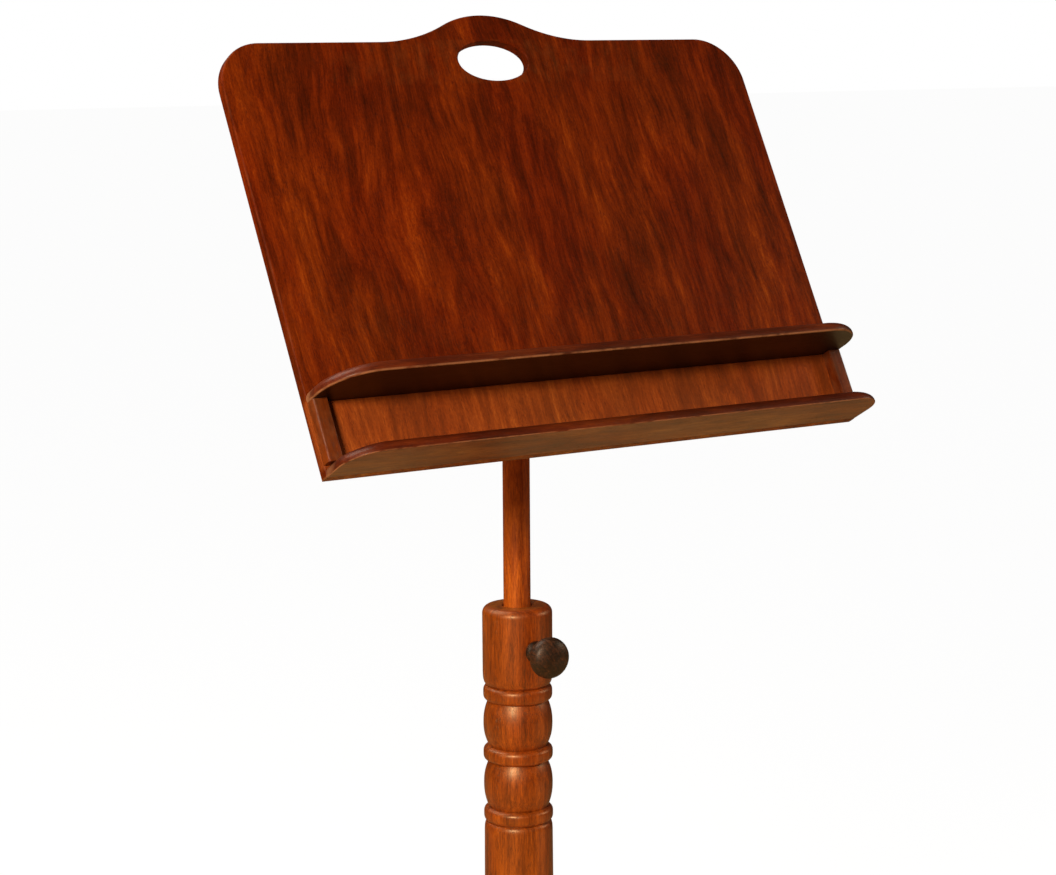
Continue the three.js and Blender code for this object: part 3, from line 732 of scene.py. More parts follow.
# lit and shaded copies of the end-block wood: painted lighter for the left block, painted darker for the right block,
# for how the light falls
slot_wood_painted_lit = wood(
    "slot_end_wood",
    [(c[0] * 1.2, c[1] * 1.7, c[2] * 3) for c in DESK_TONES],
    bands=0.45,
    streaks=0.5,
    grit=0.5,
    rings=0.15,
    specular=0.2,
    coat=0.0,
    wear_and_highlight=(0.32, 0.11, 0.04),
    wear_and_highlight_by=0.2,
)
slot_wood_painted_shade = wood(
    "slot_end_wood_painted_shade",
    [(c[0] * 0.8, c[1] * 0.95, c[2] * 1.6) for c in DESK_TONES],
    bands=0.45,
    streaks=0.5,
    grit=0.5,
    rings=0.15,
    specular=0.2,
    coat=0.0,
    wear_and_highlight=(0.32, 0.11, 0.04),
    wear_and_highlight_by=0.2,
)
ledge_wood = wood(
    "ledge_wood",
    [
        (0.034, 0.0050, 0.0010),
        (0.080, 0.0100, 0.0016),
        (0.130, 0.0180, 0.0024),
        (0.200, 0.0330, 0.0046),
    ],
    bands=0.5,
    rings=0.2,
    grit=0.4,
    specular=0.3,
    specular_tint=(1.0, 0.84, 0.68),
    coat=0.14,
    coat_rough=0.3,
    # wear colour and amount also paint the highlight line along the ledges' lower arris
    wear_and_highlight=(0.42, 0.17, 0.075),
    wear_and_highlight_by=0.75,
    wear_and_highlight_from=0.3,
    # painted shade on the upper ledge's underside, painted floor reflection (browner, paler) on the lower ledge's
    # underside
    under=((0.10, 0.20, 0.25), (2.1, 5.6, 13.5), 1.0),
)
column_wood = wood(
    "column_wood",
    [
        (0.066, 0.0078, 0.0004),
        (0.200, 0.0300, 0.0008),
        (0.360, 0.0610, 0.0014),
        (0.570, 0.1150, 0.0046),
    ],
    bands=0.5,
    patches=0.6,
    patch_size=(60, 60, 11),
    streaks=0.9,
    streak_size=(230, 230, 15),
    fibres=1.0,
    fibre_size=(720, 720, 48),
    hairs=2.6,
    grit=0.45,
    hair_size=(1900, 1900, 110),
    rings=0.12,
    ring_gap=5.5,
    heart=(0.006, -0.045),
    pores=0.75,
    rough=0.40,
    specular=0.95,
    specular_tint=(1.0, 0.68, 0.38),
    coat=0.0,
    coat_rough=0.34,
    wear_and_highlight=(0.45, 0.13, 0.03),
    wear_and_highlight_by=0.25,
    # painted shade in the column's grooves
    groove_shade=(0.035, 0.0045, 0.0008),
    groove_shade_by=0.85,
    warp=0.011,
    # painted sheen: the collar's flat top, marked 1, is painted paler and browner
    under=((1.0, 1.4, 3.0), (1.0, 1.0, 1.0), 1.0),
)
rod_wood = wood(
    "rod_wood",
    [
        (0.160, 0.0210, 0.0016),
        (0.370, 0.0620, 0.0034),
        (0.570, 0.1080, 0.0060),
        (0.700, 0.1600, 0.0100),
    ],
    bands=0.5,
    patches=0.7,
    patch_size=(60, 60, 16),
    streaks=0.9,
    streak_size=(230, 230, 24),
    fibres=1.0,
    fibre_size=(720, 720, 60),
    hairs=2.2,
    grit=0.45,
    hair_size=(1900, 1900, 130),
    rings=0.1,
    ring_gap=5.5,
    pores=0.6,
    rough=0.44,
    specular=0.24,
    coat=0.0,
    wear_and_highlight=(0.6, 0.2, 0.05),
    wear_and_highlight_by=0.2,
    warp=0.008,
)
dark_wood = wood(
    "dark_wood",
    [
        (0.0045, 0.0016, 0.0005),
        (0.0150, 0.0052, 0.0014),
        (0.0480, 0.0140, 0.0038),
        (0.1450, 0.0430, 0.0120),
    ],
    bands=0.6,
    patches=0.9,
    patch_size=(120, 120, 50),
    streaks=0.9,
    streak_size=(330, 330, 80),
    fibres=1.1,
    fibre_size=(900, 900, 150),
    hairs=1.8,
    grit=0.8,
    rings=0.5,
    ring_gap=2.6,
    heart=(0.004, -0.012),
    pores=0.7,
    rough=0.48,
    specular=0.45,
    specular_tint=(1.0, 0.86, 0.72),
    coat=0.04,
    coat_rough=0.28,
    wear_and_highlight=(0.10, 0.040, 0.015),
    wear_and_highlight_by=0.3,
    groove_shade=(0.020, 0.006, 0.002),
    warp=0.004,
    depth=0.0001,
)


def metal(name, low, high, rough, tarnish, tarnish_by):
    """Turned metal with handling marks and dull patches."""
    k = Nodes(name)
    p = k.new("ShaderNodeTexCoord").outputs["Object"]
    cloud = k.noise(p, (260, 260, 260), 4, 0.6)
    scratch = k.noise(p, (4200, 500, 4200), 3, 0.65)
    speck = k.spread(k.noise(p, (1900, 1900, 1900), 2, 0.5), 0.6, 0.74)
    colour = k.ramp(cloud, [(0.3, low), (0.7, high)])
    colour = k.mix(
        k.math("MULTIPLY", k.spread(k.noise(p, (130, 130, 130), 3, 0.6), 0.5, 0.75), tarnish_by),
        colour,
        tarnish,
    )
    colour = k.mix(k.math("MULTIPLY", speck, 0.4), colour, tarnish)
    r = k.math("ADD", rough, k.math("MULTIPLY", k.math("SUBTRACT", scratch, 0.5), 0.22))
    r = k.math("ADD", r, k.math("MULTIPLY", k.math("SUBTRACT", cloud, 0.5), 0.2))
    normal = k.bump(k.math("ADD", k.math("MULTIPLY", scratch, 0.5), k.math("MULTIPLY", speck, -0.6)), 0.00002)
    return k.finish(colour, r, normal, Metallic=1.0)


def soft(name, low, high, rough, scale, grit, spec=0.4):
    """Moulded or pressed material: mottled, finely pitted."""
    k = Nodes(name)
    p = k.new("ShaderNodeTexCoord").outputs["Object"]
    cloud = k.noise(p, (scale, scale, scale), 4, 0.6)
    pit = k.noise(p, (grit, grit, grit), 3, 0.6)
    colour = k.ramp(cloud, [(0.32, low), (0.68, high)])
    colour = k.mix(k.spread(pit, 0.55, 0.75, 0.0, 0.4), colour, tuple(c * 0.5 for c in low))
    r = k.math("ADD", rough, k.math("MULTIPLY", k.math("SUBTRACT", cloud, 0.5), 0.2))
    normal = k.bump(k.math("ADD", pit, k.math("MULTIPLY", cloud, 0.5)), 0.00006)
    return k.finish(colour, r, normal, Specular_IOR_Level=spec)


brass = metal("brass_hardware", (0.38, 0.24, 0.075), (0.62, 0.43, 0.16), 0.34, (0.14, 0.085, 0.035), 0.6)
steel = metal("steel_hardware", (0.36, 0.36, 0.35), (0.58, 0.58, 0.56), 0.3, (0.20, 0.19, 0.17), 0.5)
black_steel = metal("blackened_steel", (0.035, 0.035, 0.036), (0.075, 0.073, 0.07), 0.46, (0.02, 0.018, 0.017), 0.5)
fibre_red = soft("fibre", (0.11, 0.022, 0.012), (0.2, 0.045, 0.022), 0.72, 420, 2600, 0.25)
nylon = soft("nylon", (0.55, 0.52, 0.44), (0.68, 0.65, 0.57), 0.5, 160, 1500, 0.4)
rubber = soft("foot_rubber", (0.012, 0.012, 0.012), (0.03, 0.029, 0.028), 0.82, 300, 2400, 0.3)

# ------------------------------------------------------------------ desk board
SCREW_HEAD, SCREW_SHANK = 3.4, 1.6
SHELF_SCREW_S = {"left": -170, "centre": 0, "right": 170}
LOWER_SCREW_V = SHELF_T / 2
UPPER_SCREW_V = UPPER_V + SHELF_T / 2
BLOCK_SCREW_V = (SHELF_T + UPPER_V) / 2
BLOCK_SCREW_S = DESK_W / 2 - BLOCK_W / 2
PAD_SCREW_AT = {
    "upper_left": (-34, 52),
    "upper_right": (34, 52),
    "lower_left": (-34, -52),
    "lower_right": (34, -52),
}


def countersink(head, shank):
    return [
        (head + GAP, 0),
        (head + GAP, 0.7),
        (shank + GAP, 0.75 + head - shank),
        (shank + GAP, 5.5),
    ]


h = DESK_W / 2
x0 = (CREST_R + FLARE_R) * math.sin(CREST_A)
rise = (CREST_R + FLARE_R) * (1 - math.cos(CREST_A))
half = math.pi / 2
outline = [(-h, 0), (h, 0), (h, 2)]
outline += arc(h - DESK_CORNER_R, DESK_H - DESK_CORNER_R, DESK_CORNER_R, 0, half, 20)
outline += arc(x0, DESK_H + FLARE_R, FLARE_R, -half, -half - CREST_A, 16)
outline += arc(0, DESK_H + rise - CREST_R, CREST_R, half - CREST_A, half + CREST_A, 20)
outline += arc(-x0, DESK_H + FLARE_R, FLARE_R, -half + CREST_A, -half, 16)
outline += arc(-h + DESK_CORNER_R, DESK_H - DESK_CORNER_R, DESK_CORNER_R, half, math.pi, 20)
outline += [(-h, 2)]
outline = tidy(outline)
board = plank(
    outline,
    DESK_T,
    1.8,
    1.8,
    axes(S, U, N, on_desk(0, 0, -DESK_T)),
    holes=[circle(0, HOLE_V, HOLE_A, HOLE_B, 72)],
    hole_arris=0.55,
    pits=[
        (s, v, countersink(SCREW_HEAD, SCREW_SHANK), "low")
        for s in SHELF_SCREW_S.values()
        for v in (LOWER_SCREW_V, UPPER_SCREW_V)
    ]
    + [(s, BLOCK_SCREW_V, countersink(2.8, 1.3), "low") for s in (-BLOCK_SCREW_S, BLOCK_SCREW_S)],
    weights=[0.3] + [1] * (len(outline) - 1),
)
foot = on_desk(0, 0, 0)
# painted floor reflection on the board's bottom edge, as on the lower ledge's underside
paint_light_tone(board, lambda p: (p - foot).dot(U) < 0.3, -1.0)
finish_piece(
    "board", board, "desk_panel", "desk", desk_wood, grain=(on_desk(0, 0, 0), S, N, U, 1)
)


# ------------------------------------------------------------------ ledges and end blocks
def ledge(depth, v0, r, low, nosing, corner, side, seed, name, node):
    back = -0.04
    pts = [(h, back), (-h, back)]
    pts += arc(-h + r, -depth + r, r, math.pi, 1.5 * math.pi, 24)
    pts += arc(h - r, -depth + r, r, 1.5 * math.pi, 2 * math.pi, 24)
    pts = tidy(pts)
    # the corners are sanded off further than the straight front
    heavier = [0.0, 0.0] + [corner * math.sin(math.pi * k / 24) ** 0.8 for k in range(25)] * 2
    heavier = (heavier + [0.0] * len(pts))[: len(pts)]
    me = plank(
        pts,
        SHELF_T,
        low,
        nosing,
        axes(S, -N, U, on_desk(0, v0, 0)),
        weights=[0] + [1] * (len(pts) - 1),
        steps=9,
        low_steps=3,
        heavier=heavier,
        margin=0.9,
    )
    # the underside is painted: darker as shade on the upper ledge, paler and browner as a floor reflection on the lower
    # ledge
    paint_underside_shade_and_light(me, on_desk(0, v0, 0), U, side)
    finish_piece(
        name, me, node, "desk", ledge_wood, grain=(on_desk(0, v0, 0), N, U, S, seed)
    )


# lower ledge -1: underside painted as a floor reflection; upper ledge 1: underside painted as shade
ledge(LOWER_DEPTH, 0, LOWER_CORNER_R, 0.8, LOWER_NOSING, 0.45, -1, 2, "lower_ledge", "lower_shelf")
ledge(UPPER_DEPTH, UPPER_V, UPPER_CORNER_R, 1.5, UPPER_NOSING, 0.2, 1, 3, "upper_ledge", "upper_shelf")

for side, tag in ((-1, "left"), (1, "right")):
    front = -BLOCK_D + GAP
    r0, r1 = (2.6, 1.0) if side < 0 else (1.0, 2.6)
    pts = [(BLOCK_W, 0), (0, 0)]
    n0, n1 = (6, 2) if side < 0 else (2, 6)
    pts += arc(r0, front + r0, r0, math.pi, 1.5 * math.pi, n0)
    pts += arc(BLOCK_W - r1, front + r1, r1, 1.5 * math.pi, 2 * math.pi, n1)
    me = plank(
        tidy(pts),
        UPPER_V - SHELF_T - 0.1,
        0,
        0,
        axes(S, -N, U, on_desk(-h if side < 0 else h - BLOCK_W, SHELF_T + 0.05, 0.06)),
    )
    finish_piece(
        tag + "_slot_end",
        me,
        tag + "_end_block",
        "desk",
        # painted light: the left block takes the lighter copy, the right block the darker copy
        slot_wood_painted_lit if side < 0 else slot_wood_painted_shade,
        grain=(on_desk(0, 0, 0), S, N, U, 4 + side),
    )

# ------------------------------------------------------------------ tilt bracket on the board's back
hx, hy, r = PAD_W / 2, PAD_H / 2, 8
pts = arc(hx - r, -hy + r, r, -half, 0, 8)
pts += arc(hx - r, hy - r, r, 0, half, 8)
pts += arc(-hx + r, hy - r, r, half, math.pi, 8)
pts += arc(-hx + r, -hy + r, r, math.pi, 1.5 * math.pi, 8)
me = plank(
    tidy(pts),
    PAD_T + GAP - 0.04,
    2.2,
    0.2,
    axes(S, U, N, on_desk(0, PIVOT_V, -DESK_T - GAP - PAD_T)),
    pits=[(s, v, countersink(3.6, 1.7), "low") for s, v in PAD_SCREW_AT.values()],
)
finish_piece(
    "bracket_plate", me, "bracket_pad", "desk", desk_wood, grain=(on_desk(0, 0, 0), S, N, U, 7)
)

base = -DESK_T - 2 * GAP - PAD_T
a0, a1 = math.radians(222), math.radians(318)
for side, tag in ((-1, "left"), (1, "right")):
    pts = [(38, base + 0.25), (-38, base + 0.25), (-38, base - 4)]
    pts += arc(0, PIVOT_W, CHEEK_R, a0, a1, 24)
    pts += [(38, base - 4)]
    s0 = -CHEEK_OUT if side < 0 else CHEEK_IN
    me = plank(
        pts,
        CHEEK_T,
        1.8,
        1.8,
        axes(U, N, S, on_desk(s0, PIVOT_V, 0)),
        holes=[circle(0, PIVOT_W, 6.0 if side < 0 else 4.3, 6.0 if side < 0 else 4.3, 32)],
        weights=[0, 0.3] + [1] * (len(pts) - 3) + [0.3],
    )
    finish_piece(
        tag + "_ear",
        me,
        tag + "_cheek",
        "desk",
        desk_wood,
        grain=(on_desk(0, 0, 0), N, S, U, 9 + side),
    )

# ------------------------------------------------------------------ bolt, washers, tilt knob
across = axes(U, N, S, Vector((0, 0, PIVOT_Z)))
level = axes(Y, Z, X, Vector((0, 0, PIVOT_Z)))
head = [(0, -CHEEK_OUT - 4.3)]
head += [
    (9 * math.sin(t) , -CHEEK_OUT - 0.9 - 3.4 * math.cos(t))
    for t in [k / 10 * half for k in range(1, 11)]
]
head += [(9, -CHEEK_OUT - 0.5), (8.7, -CHEEK_OUT - 0.05), (BOLT_R + 0.6, -CHEEK_OUT - 0.05)]
head += [(BOLT_R, -CHEEK_OUT + 0.6)]
x = CHEEK_OUT + GAP + 1.6
while x < TILT_KNOB_X + 18:
    head += [(BOLT_R, x), (BOLT_R - 0.55, x + 0.62)]
    x += 1.25
head += [(BOLT_R - 0.8, TILT_KNOB_X + 19.4), (0, TILT_KNOB_X + 19.4)]
finish_piece(
    "coach_bolt", lathe(head, 48, across), "tilt_bolt", "desk", steel, weighted=False, sharp=50
)


def washer(r0, r1, z0, z1, at, c=0.18):
    return lathe(
        [
            (r0 + c, z0),
            (r1 - c, z0),
            (r1, z0 + c),
            (r1, z1 - c),
            (r1 - c, z1),
            (r0 + c, z1),
            (r0, z1 - c),
            (r0, z0 + c),
            (r0 + c, z0),
        ],
        48,
        at,
    )


finish_piece(
    "knob_washer",
    washer(BOLT_R + GAP, 9.5, CHEEK_OUT + 0.04, CHEEK_OUT + GAP + 1.6, across),
    "tilt_washer",
    "desk",
    steel,
    weighted=False,
)
for side, tag in ((-1, "left"), (1, "right")):
    z0 = -HEAD_X - GAP - 1.6 if side < 0 else HEAD_X + GAP
    finish_piece(
        tag + "_fibre_disc",
        washer(BOLT_R + GAP, 13, z0, z0 + 1.6, level, 0.3),
        tag + "_friction_washer",
        "rod",
        fibre_red,
        weighted=False,
    )


def knob_mesh(neck, hole_r, hole_depth, at):
    skin = [
        (8.2 + neck, 0),
        (8.8 + neck, 0.7),
        (8.95 + neck, 1.6),
        (8.5 + neck, 3.2),
        (6.9 + neck, 5.6),
        (6.2 + neck, 9),
        (6.9 + neck, 13.2),
        (10.4 + neck * 0.5, 16.6),
        (14.6, 19.2),
        (16.7, 22.6),
        (16.9, 26.4),
        (15.2, 30.2),
        (11, 33),
        (5.6, 34.8),
        (0, 35.3),
    ]
    fine = smooth_through(skin, 6)
    return lathe([(0, hole_depth), (hole_r, hole_depth), (hole_r, 0)] + fine, 96, at)


finish_piece(
    "tilt_handle",
    cut(
        knob_mesh(2.6, BOLT_R + GAP, 21, axes(Y, Z, X, Vector((TILT_KNOB_X, 0, PIVOT_Z)))),
        [rod_shape(6.3, -2, 14.6, axes(Y, Z, X, Vector((TILT_KNOB_X, 0, PIVOT_Z))))],
    ),
    "tilt_knob",
    "tilt_knob",
    dark_wood,
    grain=(Vector((TILT_KNOB_X, 0, PIVOT_Z)), Y, Z, X, 12),
    weighted=False,
)
k_dir = Vector((math.cos(KNOB_AZ), math.sin(KNOB_AZ), 0))
k_side = Z.cross(k_dir)
finish_piece(
    "height_handle",
    knob_mesh(0, BOLT_R + GAP, 29.4, along(k_dir, Vector((0, 0, KNOB_Z)) + (COLLAR_R + GAP) * k_dir)),
    "height_knob",
    "height_knob",
    dark_wood,
    grain=(Vector((0, 0, KNOB_Z)), k_side, Z, k_dir, 13),
    weighted=False,
)

# ------------------------------------------------------------------ rod and tilt head
pts = [(-HEAD_Y, -HEAD_DROP), (HEAD_Y, -HEAD_DROP)] + arc(0, 0, HEAD_Y, 0, math.pi, 32)
head_at = axes(Y, Z, X, Vector((-HEAD_X, 0, PIVOT_Z)))
me = plank(tidy(pts), 2 * HEAD_X, 2, 2, head_at, holes=[circle(0, 0, 4.3, 4.3, 32)])
pin_at = along(Y, Vector((0, 0, PIVOT_Z - 44)))
me = cut(
    me,
    [
        rod_shape(ROD_R + 0.12, -80, -SOCKET_TOP + GAP, axes(X, Y, Z, Vector((0, 0, PIVOT_Z))), 64),
        rod_shape(2.12, -30, 30, pin_at, 32),
    ],
)
finish_piece(
    "rod_head", me, "tilt_head", "rod", column_wood, grain=(Vector((0, 0, PIVOT_Z)), X, Y, Z, 15)
)
finish_piece(
    "dowel_pin",
    lathe([(0, -16.7), (1.6, -16.7), (2, -16.3), (2, 16.3), (1.6, 16.7), (0, 16.7)], 32, pin_at),
    "head_pin",
    "rod",
    column_wood,
    grain=(Vector((0, 0, PIVOT_Z - 44)), X, Z, Y, 16),
    weighted=False,
)
top = PIVOT_Z - SOCKET_TOP
finish_piece(
    "sliding_rod",
    lathe(
        [
            (0, ROD_BOTTOM),
            (8.6, ROD_BOTTOM),
            (9, ROD_BOTTOM + 0.6),
            (9, SLEEVE_TOP),
            (10.6, SLEEVE_TOP),
            (11.0, SLEEVE_TOP + 0.2),
            (ROD_R, SLEEVE_TOP + 0.8),
        ]
        + [(ROD_R, z) for z in range(500, int(top) - 2, 40)]
        + [(ROD_R, top - 1), (ROD_R - 0.3, top - 0.3), (ROD_R - 1, top), (0, top)],
        72,
    ),
    "inner_rod",
    "rod",
    rod_wood,
    grain=(Vector((0, 0, 0)), X, Y, Z, 17),
    weighted=False,
)


# ------------------------------------------------------------------ turned column
def swelling(top_d, bot_d, r_top, r_bot, r_full, n, power):
    """A bead or barrel between two grooves. Distances are measured down from the column's top."""
    out = []
    for i in range(n + 1):
        # closer points near the grooves, where the curve is steep
        t = 0.5 - 0.5 * math.cos(math.pi * i / n)
        k = 1 - abs(2 * t - 1) ** power
        edge = r_top + (r_bot - r_top) * t
        out.append((edge + (r_full - edge) * k, top_d + (bot_d - top_d) * t))
    return out


down = [(BORE_R + 0.25, 0.5), (BORE_R + 0.6, 0.12), (BORE_R + 1.1, 0), (22.6, 0)]
down += [
    (22.6 + 6.5 * math.sin(t), 6.5 * (1 - math.cos(t))) for t in [k / 12 * half for k in range(1, 13)]
]
down += [(COLLAR_R, 25), (COLLAR_R, 45), (COLLAR_R, 56), (COLLAR_R - 0.12, 59.5), (COLLAR_R - 0.45, 62.3)]
down += [(COLLAR_R - 1.1, 64.6), (COLLAR_R - 2.1, 66.2), (25.6, 67.2)]
for a, b, ra, rb, rm, n, pw in [
    (67.2, 80.6, 25.6, 25, 28.8, 14, 4),
    (80.6, 118.8, 25, 24.4, 28.85, 22, 2.3),
    (118.8, 132.4, 24.4, 24.4, 29, 14, 4),
    (132.4, 171.4, 24.4, 25, 28.8, 22, 2.3),
    (171.4, 184, 25, 26, 28.95, 14, 4),
]:
    down += swelling(a, b, ra, rb, rm, n, pw)[1:]
down += [(27.1, 184.9), (27.9, 186.2), (28.4, 188.5), (28.6, 192), (28.75, 215)]
down += [
    (28.8 + 0.2 * math.sin(math.pi * (d - 215) / 240), d) for d in range(235, 450, 15)
]
down += [(28.6, 453), (28.35, 456), (27.7, 459), (26, 461)]
for a, b, ra, rb, rm, n, pw in [
    (461, 476.6, 26, 25, 28.95, 14, 4),
    (476.6, 512.6, 25, 24.6, 29, 22, 2.3),
    (512.6, 528.8, 24.6, 24.6, 29.4, 14, 4),
    (528.8, 564.8, 24.6, 25.4, 29.4, 22, 2.3),
    (564.8, 580.4, 25.4, 26.4, 29.8, 14, 4),
]:
    down += swelling(a, b, ra, rb, rm, n, pw)[1:]
down += [(27.6, 581.4), (28.8, 583), (29.6, 585), (HUB_R, 588)]
down += [(HUB_R, d) for d in range(604, 726, 16)]
bottom = COLLAR_Z - POST_BOTTOM
down += [(HUB_R, bottom - 2), (HUB_R - 0.6, bottom - 0.6), (HUB_R - 2, bottom), (0, bottom)]
profile = [(0, BORE_BOTTOM), (BORE_R, BORE_BOTTOM)]
profile += [(BORE_R, z) for z in range(400, 780, 60)] + [(BORE_R, COLLAR_Z - 1.2)]
profile += [(r, COLLAR_Z - d) for r, d in down]
post = lathe(profile, 128)
tools = [rod_shape(6.5, 5, 40, along(k_dir, Vector((0, 0, KNOB_Z))), 48)]
for az in LEGS.values():
    a = math.radians(az)
    e, t = Vector((math.cos(a), math.sin(a), 0)), Vector((math.sin(a), -math.cos(a), 0))
    tools.append(
        box_shape(
            (LEG_IN - GAP, POST_BOTTOM - 5, -LEG_T / 2 - 0.12),
            (60, LEG_TOP + 0.12, LEG_T / 2 + 0.12),
            axes(e, Z, t, Vector((0, 0, 0))),
        )
    )
mark_edges(post)
post = cut(post, tools)
# painted sheen: the flat top of the collar is painted paler and browner
paint_light_tone(post, lambda p: p.z > COLLAR_Z - 0.05, 1.0)
finish_piece(
    "column",
    post,
    "post",
    "base",
    column_wood,
    grain=(Vector((0, 0, 0)), X, Y, Z, 20),
    sharp=42,
    weighted=False,
)

# ------------------------------------------------------------------ legs, pads, plate
under = smooth_through(
    [(70, POST_BOTTOM), (88, 58.5), (112, 53), (140, 43), (168, 30.5), (192, 17), (206, 8), (214, 3.3)], 5
)
over = smooth_through(
    [
        (252, 3.3),
        (258.5, 9),
        (258, 18),
        (250, 26),
        (236, 31),
        (218, 36.5),
        (196, 46),
        (170, 61.5),
        (142, 81.5),
        (114, 107),
        (90, 134),
        (68, 161),
        (50, 178.5),
        (38, 185),
    ],
    5,
)
leg_outline = tidy([(LEG_IN, POST_BOTTOM)] + under + over + [(30, LEG_TOP), (LEG_IN, LEG_TOP)], 0.3)
for i, (tag, az) in enumerate(LEGS.items()):
    a = math.radians(az)
    e, t = Vector((math.cos(a), math.sin(a), 0)), Vector((math.sin(a), -math.cos(a), 0))
    me = plank(leg_outline, LEG_T, 2.6, 2.6, axes(e, Z, t, -LEG_T / 2 * t), steps=5)
    run = (0.845 * e - 0.535 * Z).normalized()
    finish_piece(
        "sawn_leg_" + tag,
        me,
        "leg_" + tag,
        "base",
        column_wood,
        grain=(Vector((0, 0, 0)), run.cross(t), t, run, 22 + i),
    )
    at = Matrix.Translation(FOOT_RHO * e)
    finish_piece(
        "pad_" + tag,
        lathe(
            [(0, 0), (7.6, 0), (8.5, 0.15), (8.9, 0.6), (9, 1.2), (9, 2.4), (8.8, 2.85), (8.4, 3.2), (0, 3.2)],
            48,
            at,
        ),
        "foot_pad_" + tag,
        "base",
        rubber,
        weighted=False,
        sharp=50,
    )

PLATE_TOP, PLATE_T = POST_BOTTOM - GAP, 3
reach = math.sqrt(25**2 - 64)
pts = []
for az in (30, 150, 270):
    a = math.radians(az)
    local = [(reach, -8)] + arc(57, -2, 6, -half, 0, 6) + arc(57, 2, 6, 0, half, 6) + [(reach, 8)]
    pts += [
        (x * math.cos(a) - y * math.sin(a), x * math.sin(a) + y * math.cos(a)) for x, y in local
    ]
    edge = math.asin(8 / 25)
    pts += arc(0, 0, 25, a + edge, a + 2 * math.pi / 3 - edge, 14)[1:-1]
holes = [circle(0, 0, 3.3, 3.3, 32)]
for az in (30, 150, 270):
    a = math.radians(az)
    holes.append(circle(54 * math.cos(a), 54 * math.sin(a), 2.4, 2.4, 28))
me = plank(
    tidy(pts), PLATE_T, 0.5, 0.3, axes(X, Y, Z, Vector((0, 0, PLATE_TOP - PLATE_T))), holes=holes, steps=3
)
finish_piece("leg_plate", me, "spider_plate", "base", black_steel)


# ------------------------------------------------------------------ screws
def screw_mesh(head, shank, length, flat):
    """Slotted wood screw, its head at z = 0 and its point at z = length."""
    if flat:
        pts = [(0, 0), (head - 0.15, 0), (head, 0.15), (head, 0.5), (shank, 0.5 + head - shank)]
    else:
        crown = flat_crown = 2.4
        pts = [(0, 0), (head * 0.35, 0.06), (head * 0.62, 0.3), (head * 0.83, 0.8), (head * 0.95, 1.5), (head, crown), (shank, flat_crown)]
    z = pts[-1][1] + 4
    pts.append((shank, z))
    while z < length - 4:
        pts += [(shank * 0.98, z + 0.5), (shank * 0.7, z + 0.95)]
        z += 1.4
    pts += [(shank * 0.6, length - 2.6), (0.15, length - 0.1), (0, length)]
    me = lathe(pts, 40)
    slot_w = head * 0.13
    return cut(
        me,
        [box_shape((-head - 1, -slot_w, -1), (head + 1, slot_w, 0.9 if flat else 1.2), Matrix.Identity(4))],
    )


def screw(name, node, body, material, kind, at, turn):
    me = screw_mesh(*kind)
    m = at @ Matrix.Rotation(turn, 4, "Z")
    m = m.copy()
    m.translation = m.translation * 0.001
    finish_piece(name, me, node, body, material, weighted=False, sharp=35, matrix=m)


turn = 0.4
for which, v in (("lower", LOWER_SCREW_V), ("upper", UPPER_SCREW_V)):
    for tag, s in SHELF_SCREW_S.items():
        screw(
            f"{which}_ledge_screw_{tag}",
            f"{which}_shelf_screw_{tag}",
            "desk",
            brass,
            (SCREW_HEAD, SCREW_SHANK, 28, True),
            along(N, on_desk(s, v, -DESK_T + 0.1)),
            turn,
        )
        turn += 0.83
for side, tag in ((-1, "left"), (1, "right")):
    screw(
        tag + "_slot_end_screw",
        tag + "_block_screw",
        "desk",
        brass,
        (2.8, 1.3, 15, True),
        along(N, on_desk(side * BLOCK_SCREW_S, BLOCK_SCREW_V, -DESK_T + 0.1)),
        turn,
    )
    turn += 0.83
for tag, (s, dv) in PAD_SCREW_AT.items():
    screw(
        "plate_screw_" + tag,
        "bracket_screw_" + tag,
        "desk",
        brass,
        (3.6, 1.7, 17, True),
        along(N, on_desk(s, PIVOT_V + dv, -DESK_T - GAP - PAD_T + 0.1)),
        turn,
    )
    turn += 0.83
under_plate = PLATE_TOP - PLATE_T - GAP
for tag, az in LEGS.items():
    a = math.radians(az)
    screw(
        "leg_fixing_" + tag,
        "leg_screw_" + tag,
        "base",
        steel,
        (4.2, 2.1, 35, False),
        along(Z, Vector((54 * math.cos(a), 54 * math.sin(a), under_plate - 2.2))),
        turn,
    )
    turn += 0.83
screw(
    "column_fixing",
    "post_screw",
    "base",
    steel,
    (5.6, 3, 45, False),
    along(Z, Vector((0, 0, under_plate - 2.2))),
    turn,
)

# ------------------------------------------------------------------ CAD nodes that stay
for node, material in {
    "collar_insert": brass,
    "rod_shoe": brass,
    "tilt_knob_insert": brass,
    "height_stud": steel,
    "rod_end_washer": steel,
    "rod_end_screw": steel,
    "guide_sleeve": nylon,
}.items():
    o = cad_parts[node]
    if not o.material_slots:
        o.data.materials.append(material)
    for s in o.material_slots:
        s.material = material

# ------------------------------------------------------------------ floor, lights
floor_me = bpy.data.meshes.new("floor")
floor_me.from_pydata([(-40, -40, 0), (40, -40, 0), (40, 40, 0), (-40, 40, 0)], [], [(0, 1, 2, 3)])
floor = as_object("floor", floor_me)
k = Nodes("pale_floor")
mottle = k.noise(k.new("ShaderNodeTexCoord").outputs["Object"], (3, 3, 3), 3, 0.5)
path = k.new("ShaderNodeLightPath").outputs["Is Camera Ray"]
paint = k.ramp(mottle, [(0.3, (0.60, 0.40, 0.19)), (0.7, (0.66, 0.45, 0.22))])
k.finish(k.mix(path, paint, (0.07, 0.07, 0.07)), 0.85, Specular_IOR_Level=0.1)
k.shader.inputs["Emission Color"].default_value = (1, 1, 1, 1)
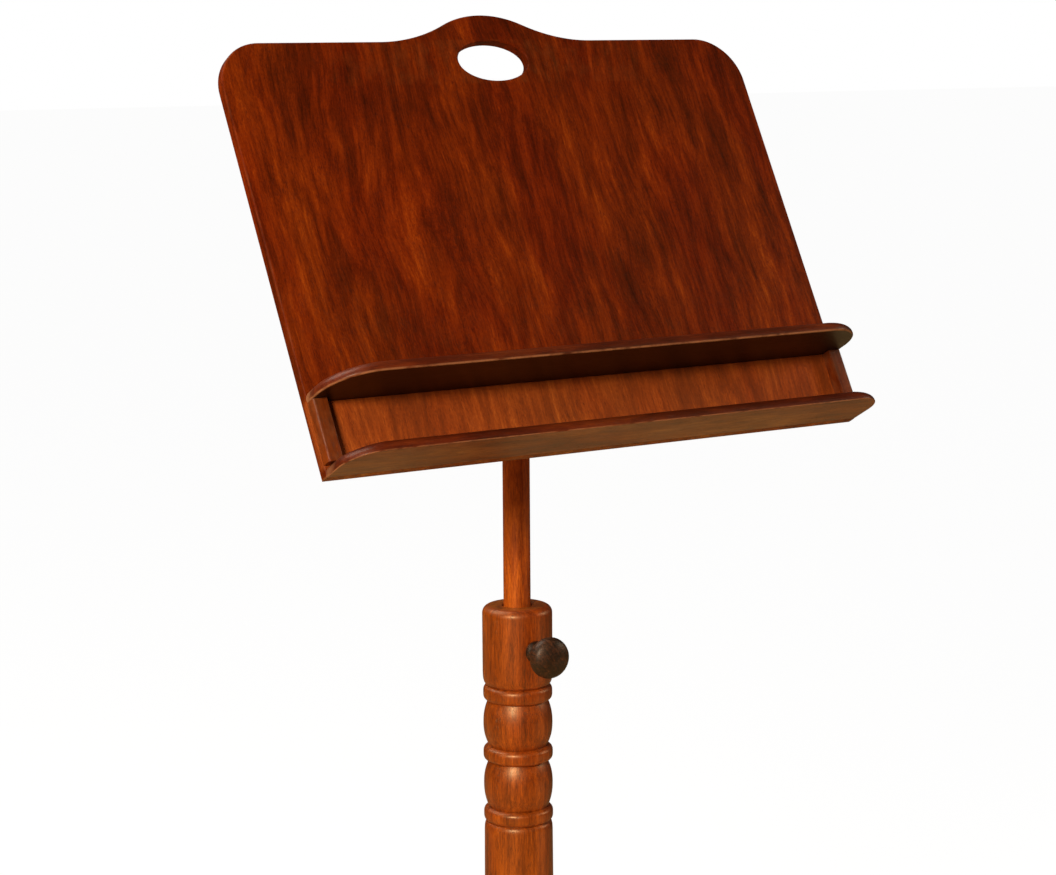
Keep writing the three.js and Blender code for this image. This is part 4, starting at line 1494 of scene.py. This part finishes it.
# painted contact shadow: the floor's glow for camera rays is dimmed near other objects by ambient occlusion
near = k.new("ShaderNodeAmbientOcclusion", samples=8)
near.inputs["Distance"].default_value = 0.12
painted_contact_shadow = k.spread(near.outputs["AO"], 0.25, 1.0, 0.72, 0.97)
k.put(k.shader.inputs["Emission Strength"], k.math("MULTIPLY", path, painted_contact_shadow))
floor_me.materials.append(k.m)

world = bpy.data.worlds.new("studio")
scene.world = world
world.use_nodes = True
wt = world.node_tree
wt.nodes.clear()
wout = wt.nodes.new("ShaderNodeOutputWorld")
mixw = wt.nodes.new("ShaderNodeMixShader")
pathw = wt.nodes.new("ShaderNodeLightPath")
seen = wt.nodes.new("ShaderNodeBackground")
seen.inputs[0].default_value = (1, 1, 1, 1)
seen.inputs[1].default_value = 1.0
room = wt.nodes.new("ShaderNodeBackground")
room.inputs[0].default_value = (1, 0.86, 0.7, 1)
room.inputs[1].default_value = 0.04
wt.links.new(pathw.outputs["Is Camera Ray"], mixw.inputs[0])
wt.links.new(room.outputs[0], mixw.inputs[1])
wt.links.new(seen.outputs[0], mixw.inputs[2])
wt.links.new(mixw.outputs[0], wout.inputs[0])


def soft_light(name, place, target, w, hgt, power, colour=(1, 1, 1)):
    d = bpy.data.lights.new(name, "AREA")
    d.shape = "RECTANGLE"
    d.size, d.size_y, d.energy, d.color = w, hgt, power, colour
    o = bpy.data.objects.new(name, d)
    o.location = place
    o.rotation_mode = "QUATERNION"
    o.rotation_quaternion = (Vector(target) - Vector(place)).to_track_quat("-Z", "Y")
    scene.collection.objects.link(o)
    return o


soft_light("key", (-2.05, -1.65, 1.98), (0, -0.05, 1.0), 0.5, 0.45, 84, (1, 0.88, 0.70))
soft_light("right_fill", (2.5, -1.0, 1.9), (0, -0.05, 0.95), 0.7, 0.7, 17, (1, 0.84, 0.62))
soft_light("low_fill", (1.15, -1.1, 0.22), (0, -0.1, 0.95), 0.9, 0.5, 1.0, (1, 0.75, 0.5))
soft_light("top", (-1.2, 1.6, 3.4), (0, 0.6, 0.4), 2.2, 2.2, 60, (1, 0.93, 0.84))
